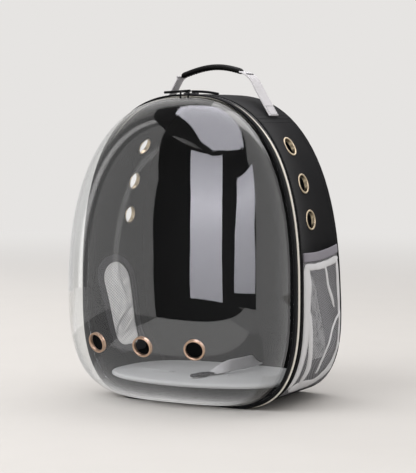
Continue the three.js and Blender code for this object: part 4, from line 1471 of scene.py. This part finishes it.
def build_straps(name, sign):
    """Padded shoulder strap with bound edges, and the webbing below it."""
    flip = lambda p: Vector((sign * p[0], p[1], p[2]))
    sideways = lambda tangent, share: Vector((1, 0, 0))
    route = smooth_route([flip(p) for p in strap_places(STRAP_ROUTE, STRAP["thick"])], 64)
    core = strap_section(STRAP["width"], STRAP["thick"] - 2, crown=0.3, edge_steps=8, flat_steps=12)
    half = STRAP["width"] / 2
    edges = [k for k, (across, _) in enumerate(core) if abs(across) > half - STRAP_EDGE["sewn"]]
    ends = (0, 1, len(route) - 2, len(route) - 1)
    sewn = [i * len(core) + k for i in range(len(route)) for k in range(len(core)) if k in edges or i in ends]
    strap = piece(f"shoulder_strap_{name}_pad", ribbon(route, sideways, core), "black_fabric",
                  [f"shoulder_strap_{name}"])
    puff(strap, sewn, PUFF["strap"])
    rows, tapes = [], []
    tape_thick = STRAP["thick"] - STRAP_EDGE["thinner"]
    tape_section = strap_section(STRAP_EDGE["width"], tape_thick, edge_steps=6, flat_steps=2)
    rise = STRAP["thick"] / 2 - STRAP_EDGE["sink"]
    for edge in (1, -1):
        side_route = [p + Vector((edge * (half - STRAP_EDGE["inset"]), 0, 0)) for p in route]
        tapes.append(ribbon(side_route, sideways, tape_section))
        for face in (1, -1):
            lift = [t.cross(Vector((1, 0, 0))).normalized() * face for t in tangents(route)]
            beside = Vector((edge * (half - STRAP_EDGE["stitches"]), 0, 0))
            path = [p + beside + up * rise for p, up in zip(route, lift)]
            rows.append(stitch_row(path[1:-1], lift[1:-1]))
    piece(f"shoulder_strap_{name}_edges", join(*tapes), "black_trim")
    piece(f"strap_stitches_{name}", join(*rows), "black_fabric", material="thread_black")
    lower = smooth_route([flip(p) for p in strap_places(LOWER_WEB_ROUTE, LOWER_WEB["thick"])], 40)
    section = strap_section(LOWER_WEB["width"], LOWER_WEB["thick"])
    piece(f"strap_webbing_{name}_strap", ribbon(lower, sideways, section), "black_trim",
          [f"strap_webbing_{name}"])


# Floor mat

def mat_loop(inset, count=48):
    """The mat from above: a wide bow in front and a squarer back."""
    half, front, mid, back = (MAT[k] for k in ("half", "front", "mid", "back"))
    right = []
    for a in steps(0, math.pi / 2, count):
        right.append(((half - inset) * math.sin(a), mid + (front + inset - mid) * math.cos(a)))
    for a in steps(0, math.pi / 2, count)[1:]:
        across, up = rounded_square(a, MAT["power"])
        right.append(((half - inset) * across, mid + (back - inset - mid) * up))
    left = [(-x, y) for x, y in reversed(right)]
    return right[:-1] + left[:-1]


def build_mat():
    """Thin padded mat, bound round its edge and slightly crowned."""
    low, thick = MAT["low"], MAT["thick"]
    seam = MAT_SEAM["inset"]
    sewn = [i for i, (inset, up) in enumerate(MAT_LAYERS) if up < 1 or inset == seam]
    loops = []
    for inset, up in MAT_LAYERS:
        loop = []
        for x, y in mat_loop(inset):
            dent = 0.0
            if inset > MAT_DENT["inside"]:
                dent = MAT_DENT["depth"] * noise.noise(Vector((x, y, 0)) / MAT_DENT["size"])
            loop.append((x, y, low + min(up, thick) - max(dent, 0)))
        loops.append(loop)
    mat = piece("floor_mat_pad", sweep(loops), "mat_fabric", ["floor_mat"])
    puff(mat, layers_of(sewn, len(loops[0])), PUFF["mat"])
    path = [(x, y, low + MAT_SEAM["stitches"]) for x, y in mat_loop(seam)]
    piece("mat_stitches", stitch_row(path, [(0, 0, 1)] * len(path), closed=True), "mat_fabric",
          material="mat_fabric")


# Stage

WORLD_COLOUR = linear("e6e4e2")
FLOOR_COLOUR = linear("c6c3c0")
# Lamps: name, size in metres, place, watts
LAMPS = (
    ("key", 1.6, (-0.8, -1.5, 2.0), 31),
    ("overhead", 2.0, (0.3, 0.3, 2.4), 22),
    ("fill", 1.2, (-1.7, 0.5, 0.9), 7),
)
LAMP_AIM = (0, 0, 0.15)
# What the bubble mirrors: walls round the studio as rows of elevation and azimuth limits in degrees,
# with their distance in metres and brightness. Azimuth 0 is straight in front, and more is to the right.
MIRROR_CENTRE = Vector((0.02, -0.14, 0.2))
MIRROR_WALLS = (
    ("dark_front", 1.05, 0.05, ((-12, -26, 88), (4, -26, 89), (34, -31, 100), (59, -61, 112))),
    ("softbox_left", 0.95, 6.8, ((-10.5, 2.4, 39), (8, 3.5, 39.5), (30, 2, 42), (57, -9, 52))),
    ("softbox_right", 0.95, 5.7, ((-7, 55, 87), (13.5, 58, 89), (39, 71, 110))),
    ("side_left_1", 1.6, 1.1, ((-12, -42, -20), (59, -42, -20))),
    ("side_left_2", 1.6, 1.8, ((-12, -46, -42), (59, -46, -42))),
    ("side_left_3", 1.6, 1.1, ((-12, -74, -46), (59, -74, -46))),
    ("side_left_4", 1.6, 0.6, ((-12, -82, -74), (59, -82, -74))),
    ("side_left_5", 1.6, 2.3, ((-12, -91, -82), (59, -91, -82))),
    ("side_left_6", 1.6, 0.5, ((-12, -104, -91), (59, -104, -91))),
    ("side_right", 1.6, 1.1, ((-12, 84, 150), (57, 84, 150))),
    ("back_low", 1.5, 0.75, ((-12, -165, -104), (14, -165, -104))),
    ("back_left", 1.5, 0.8, ((16, -160, -140), (40, -160, -125), (58, -160, -104))),
    ("back_middle", 1.5, 1.9, ((16, -178, -160), (58, -178, -160))),
    ("back_right", 1.5, 3.4, ((16, 150, 182), (58, 150, 182))),
)
# Brightness of the upright softboxes over their height in metres
SOFTBOX_RAMP = {
    "names": ("softbox_left", "softbox_right"),
    "low": 0.0,
    "high": 1.5,
    "shares": ((0.0, 0.5), (0.3, 0.75), (0.46, 1.0), (0.6, 0.8), (1.0, 0.6)),
}
SOFTBOX_TINT = (0.93, 0.915, 1.0, 1)
BOARD_TINT = (1.0, 0.985, 0.98, 1)
# Boards on the floor: name, brightness and corners as X and Y in metres
FLOOR_BOARDS = (
    ("dark_floor", 0.05, ((-0.74, -1.7), (0.9, -1.7), (0.9, -0.5), (-0.155, -0.5))),
    ("left_floor", 1.1,
     ((-1.8, -1.7), (-0.74, -1.7), (-0.155, -0.5), (-0.45, -0.5), (-0.45, 0.1), (-1.8, 0.1))),
    ("left_near", 0.6, ((-0.45, -0.5), (-0.155, -0.5), (-0.155, 0.1), (-0.45, 0.1))),
    ("right_floor", 1.1, ((0.45, -0.5), (1.8, -0.5), (1.8, 0.9), (0.17, 0.9), (0.17, -0.05), (0.45, -0.05))),
    ("haze_board", 1.45, ((-0.155, -0.5), (0.45, -0.5), (0.45, -0.2), (-0.155, -0.2))),
    ("near_board", 0.88, ((-0.155, -0.2), (0.45, -0.2), (0.45, -0.05), (-0.155, -0.05))),
)
FLOOR_BOARD_Z = 0.004
# Softbox overhead, seen from above: metres from the middle
TOP_BOX = (
    (-0.6, 0.04), (-0.63, 0.44), (-0.42, 0.57), (-0.15, 0.83), (0.32, 0.69), (0.73, 0.54), (1.15, 0.16),
    (0.83, -0.44), (0.45, -0.8), (0.07, -0.73),
)
TOP_BOX_Z, TOP_BOX_GLOW = 1.56, 4.5
# Dark flag round it, a little higher
TOP_FLAG = (
    (-0.9, 0.05), (-0.95, 0.46), (-0.63, 0.6), (-0.2, 0.86), (0.41, 0.72), (0.93, 0.56), (1.47, 0.17),
    (1.06, -0.56), (0.58, -1.02), (0.09, -0.93), (-0.66, -0.66),
)
TOP_FLAG_Z, TOP_FLAG_GLOW = 1.61, 0.08
FLOOR_RADIUS = 14
# The floor turns into the backdrop between these distances in metres
FLOOR_FADE = (0.6, 3.2)


def build_stage():
    world = bpy.data.worlds.new("studio")
    bpy.context.scene.world = world
    world.use_nodes = True
    background = world.node_tree.nodes["Background"]
    background.inputs["Color"].default_value = WORLD_COLOUR
    background.inputs["Strength"].default_value = 1.0
    build_floor()
    build_lamps()
    build_mirrored_studio()
    bpy.context.scene.view_settings.view_transform = "Standard"


def build_lamps():
    for name, size, place, watts in LAMPS:
        data = bpy.data.lights.new(name, "AREA")
        data.size = size
        data.energy = watts
        lamp = bpy.data.objects.new(name, data)
        lamp.location = place
        lamp.rotation_euler = (Vector(LAMP_AIM) - Vector(place)).to_track_quat("-Z", "Y").to_euler()
        lamp.visible_glossy = False
        lamp.visible_transmission = False
        bpy.context.scene.collection.objects.link(lamp)


def softbox_strength(tree, glow):
    """Strength that changes over a softbox's height."""
    place = node(tree, "ShaderNodeTexCoord").outputs["Object"]
    height = node(tree, "ShaderNodeSeparateXYZ", {0: place}).outputs["Z"]
    share = node(tree, "ShaderNodeMapRange", {
        "Value": height, "From Min": SOFTBOX_RAMP["low"], "From Max": SOFTBOX_RAMP["high"],
    }).outputs[0]
    ramp = node(tree, "ShaderNodeValToRGB", {"Fac": share})
    stops = ramp.color_ramp.elements
    while len(stops) < len(SOFTBOX_RAMP["shares"]):
        stops.new(0.5)
    for stop, (position, level) in zip(stops, SOFTBOX_RAMP["shares"]):
        stop.position = position
        stop.color = (level, level, level, 1)
    return math_node(tree, "MULTIPLY", ramp.outputs["Color"], glow)


def studio_card(name, points, faces, glow):
    """Softbox or dark flag that only reflections show."""
    mesh = bpy.data.meshes.new(name)
    mesh.from_pydata(points, [], faces)
    material = bpy.data.materials.new(name)
    material.use_nodes = True
    tree = material.node_tree
    tree.nodes.clear()
    tint = SOFTBOX_TINT if name.startswith("softbox_") else BOARD_TINT
    light = node(tree, "ShaderNodeEmission", {"Color": tint, "Strength": glow})
    if name in SOFTBOX_RAMP["names"]:
        tree.links.new(softbox_strength(tree, glow), light.inputs["Strength"])
    output = node(tree, "ShaderNodeOutputMaterial")
    tree.links.new(light.outputs[0], output.inputs["Surface"])
    mesh.materials.append(material)
    card = bpy.data.objects.new(name, mesh)
    for way in ("camera", "diffuse", "transmission", "volume_scatter", "shadow"):
        setattr(card, f"visible_{way}", False)
    bpy.context.scene.collection.objects.link(card)


def flat_card(name, corners, z, glow):
    studio_card(name, [(x, y, z) for x, y in corners], [tuple(range(len(corners)))], glow)


def build_mirrored_studio():
    """Cards round, over and under the carrier for the bubble to mirror."""
    columns = 12
    for name, far, glow, rows in MIRROR_WALLS:
        points = []
        for elevation, left, right in rows:
            for azimuth in steps(math.radians(left), math.radians(right), columns):
                reach = Vector((math.sin(azimuth), -math.cos(azimuth), math.tan(math.radians(elevation))))
                points.append(MIRROR_CENTRE + reach * far)
        wide = columns + 1
        faces = [(i * wide + k, i * wide + k + 1, (i + 1) * wide + k + 1, (i + 1) * wide + k)
                 for i in range(len(rows) - 1) for k in range(columns)]
        studio_card(name, points, faces, glow)
    flat_card("softbox_top", TOP_BOX, TOP_BOX_Z, TOP_BOX_GLOW)
    flat_card("dark_top", TOP_FLAG, TOP_FLAG_Z, TOP_FLAG_GLOW)
    for name, glow, corners in FLOOR_BOARDS:
        flat_card(name, corners, FLOOR_BOARD_Z, glow)


def build_floor():
    """Pale floor that runs out into the backdrop's own brightness, so no horizon shows."""
    work = bmesh.new()
    bmesh.ops.create_circle(work, cap_ends=True, segments=96, radius=FLOOR_RADIUS)
    mesh = bpy.data.meshes.new("floor")
    work.to_mesh(mesh)
    work.free()
    floor = bpy.data.objects.new("floor", mesh)
    bpy.context.scene.collection.objects.link(floor)
    material, tree, shader, output = start_material("floor", **{"Roughness": 0.8, "Specular IOR Level": 0.02})
    paint(tree, shader, object_noise(tree, 14.0), FLOOR_COLOUR, 0.98, 1.02)
    coordinates = node(tree, "ShaderNodeTexCoord")
    far = node(tree, "ShaderNodeVectorMath", {0: coordinates.outputs["Object"]}, operation="LENGTH")
    near, beyond = FLOOR_FADE
    fade = node(tree, "ShaderNodeMapRange", {
        "Value": far.outputs["Value"], "From Min": near, "From Max": beyond,
    })
    fade.interpolation_type = "SMOOTHSTEP"
    glow = node(tree, "ShaderNodeEmission", {"Color": WORLD_COLOUR})
    both = node(tree, "ShaderNodeMixShader", {
        "Fac": fade.outputs[0], 1: shader.outputs[0], 2: glow.outputs[0],
    })
    tree.links.new(both.outputs[0], output.inputs["Surface"])
    mesh.materials.append(material)


add_camera()
build_tether()
build_dome()
build_front_frame()
build_zip_pulls()
build_body()
build_handle()
for side_name, side_sign in SIDES:
    build_straps(side_name, side_sign)
build_mat()
build_stage()
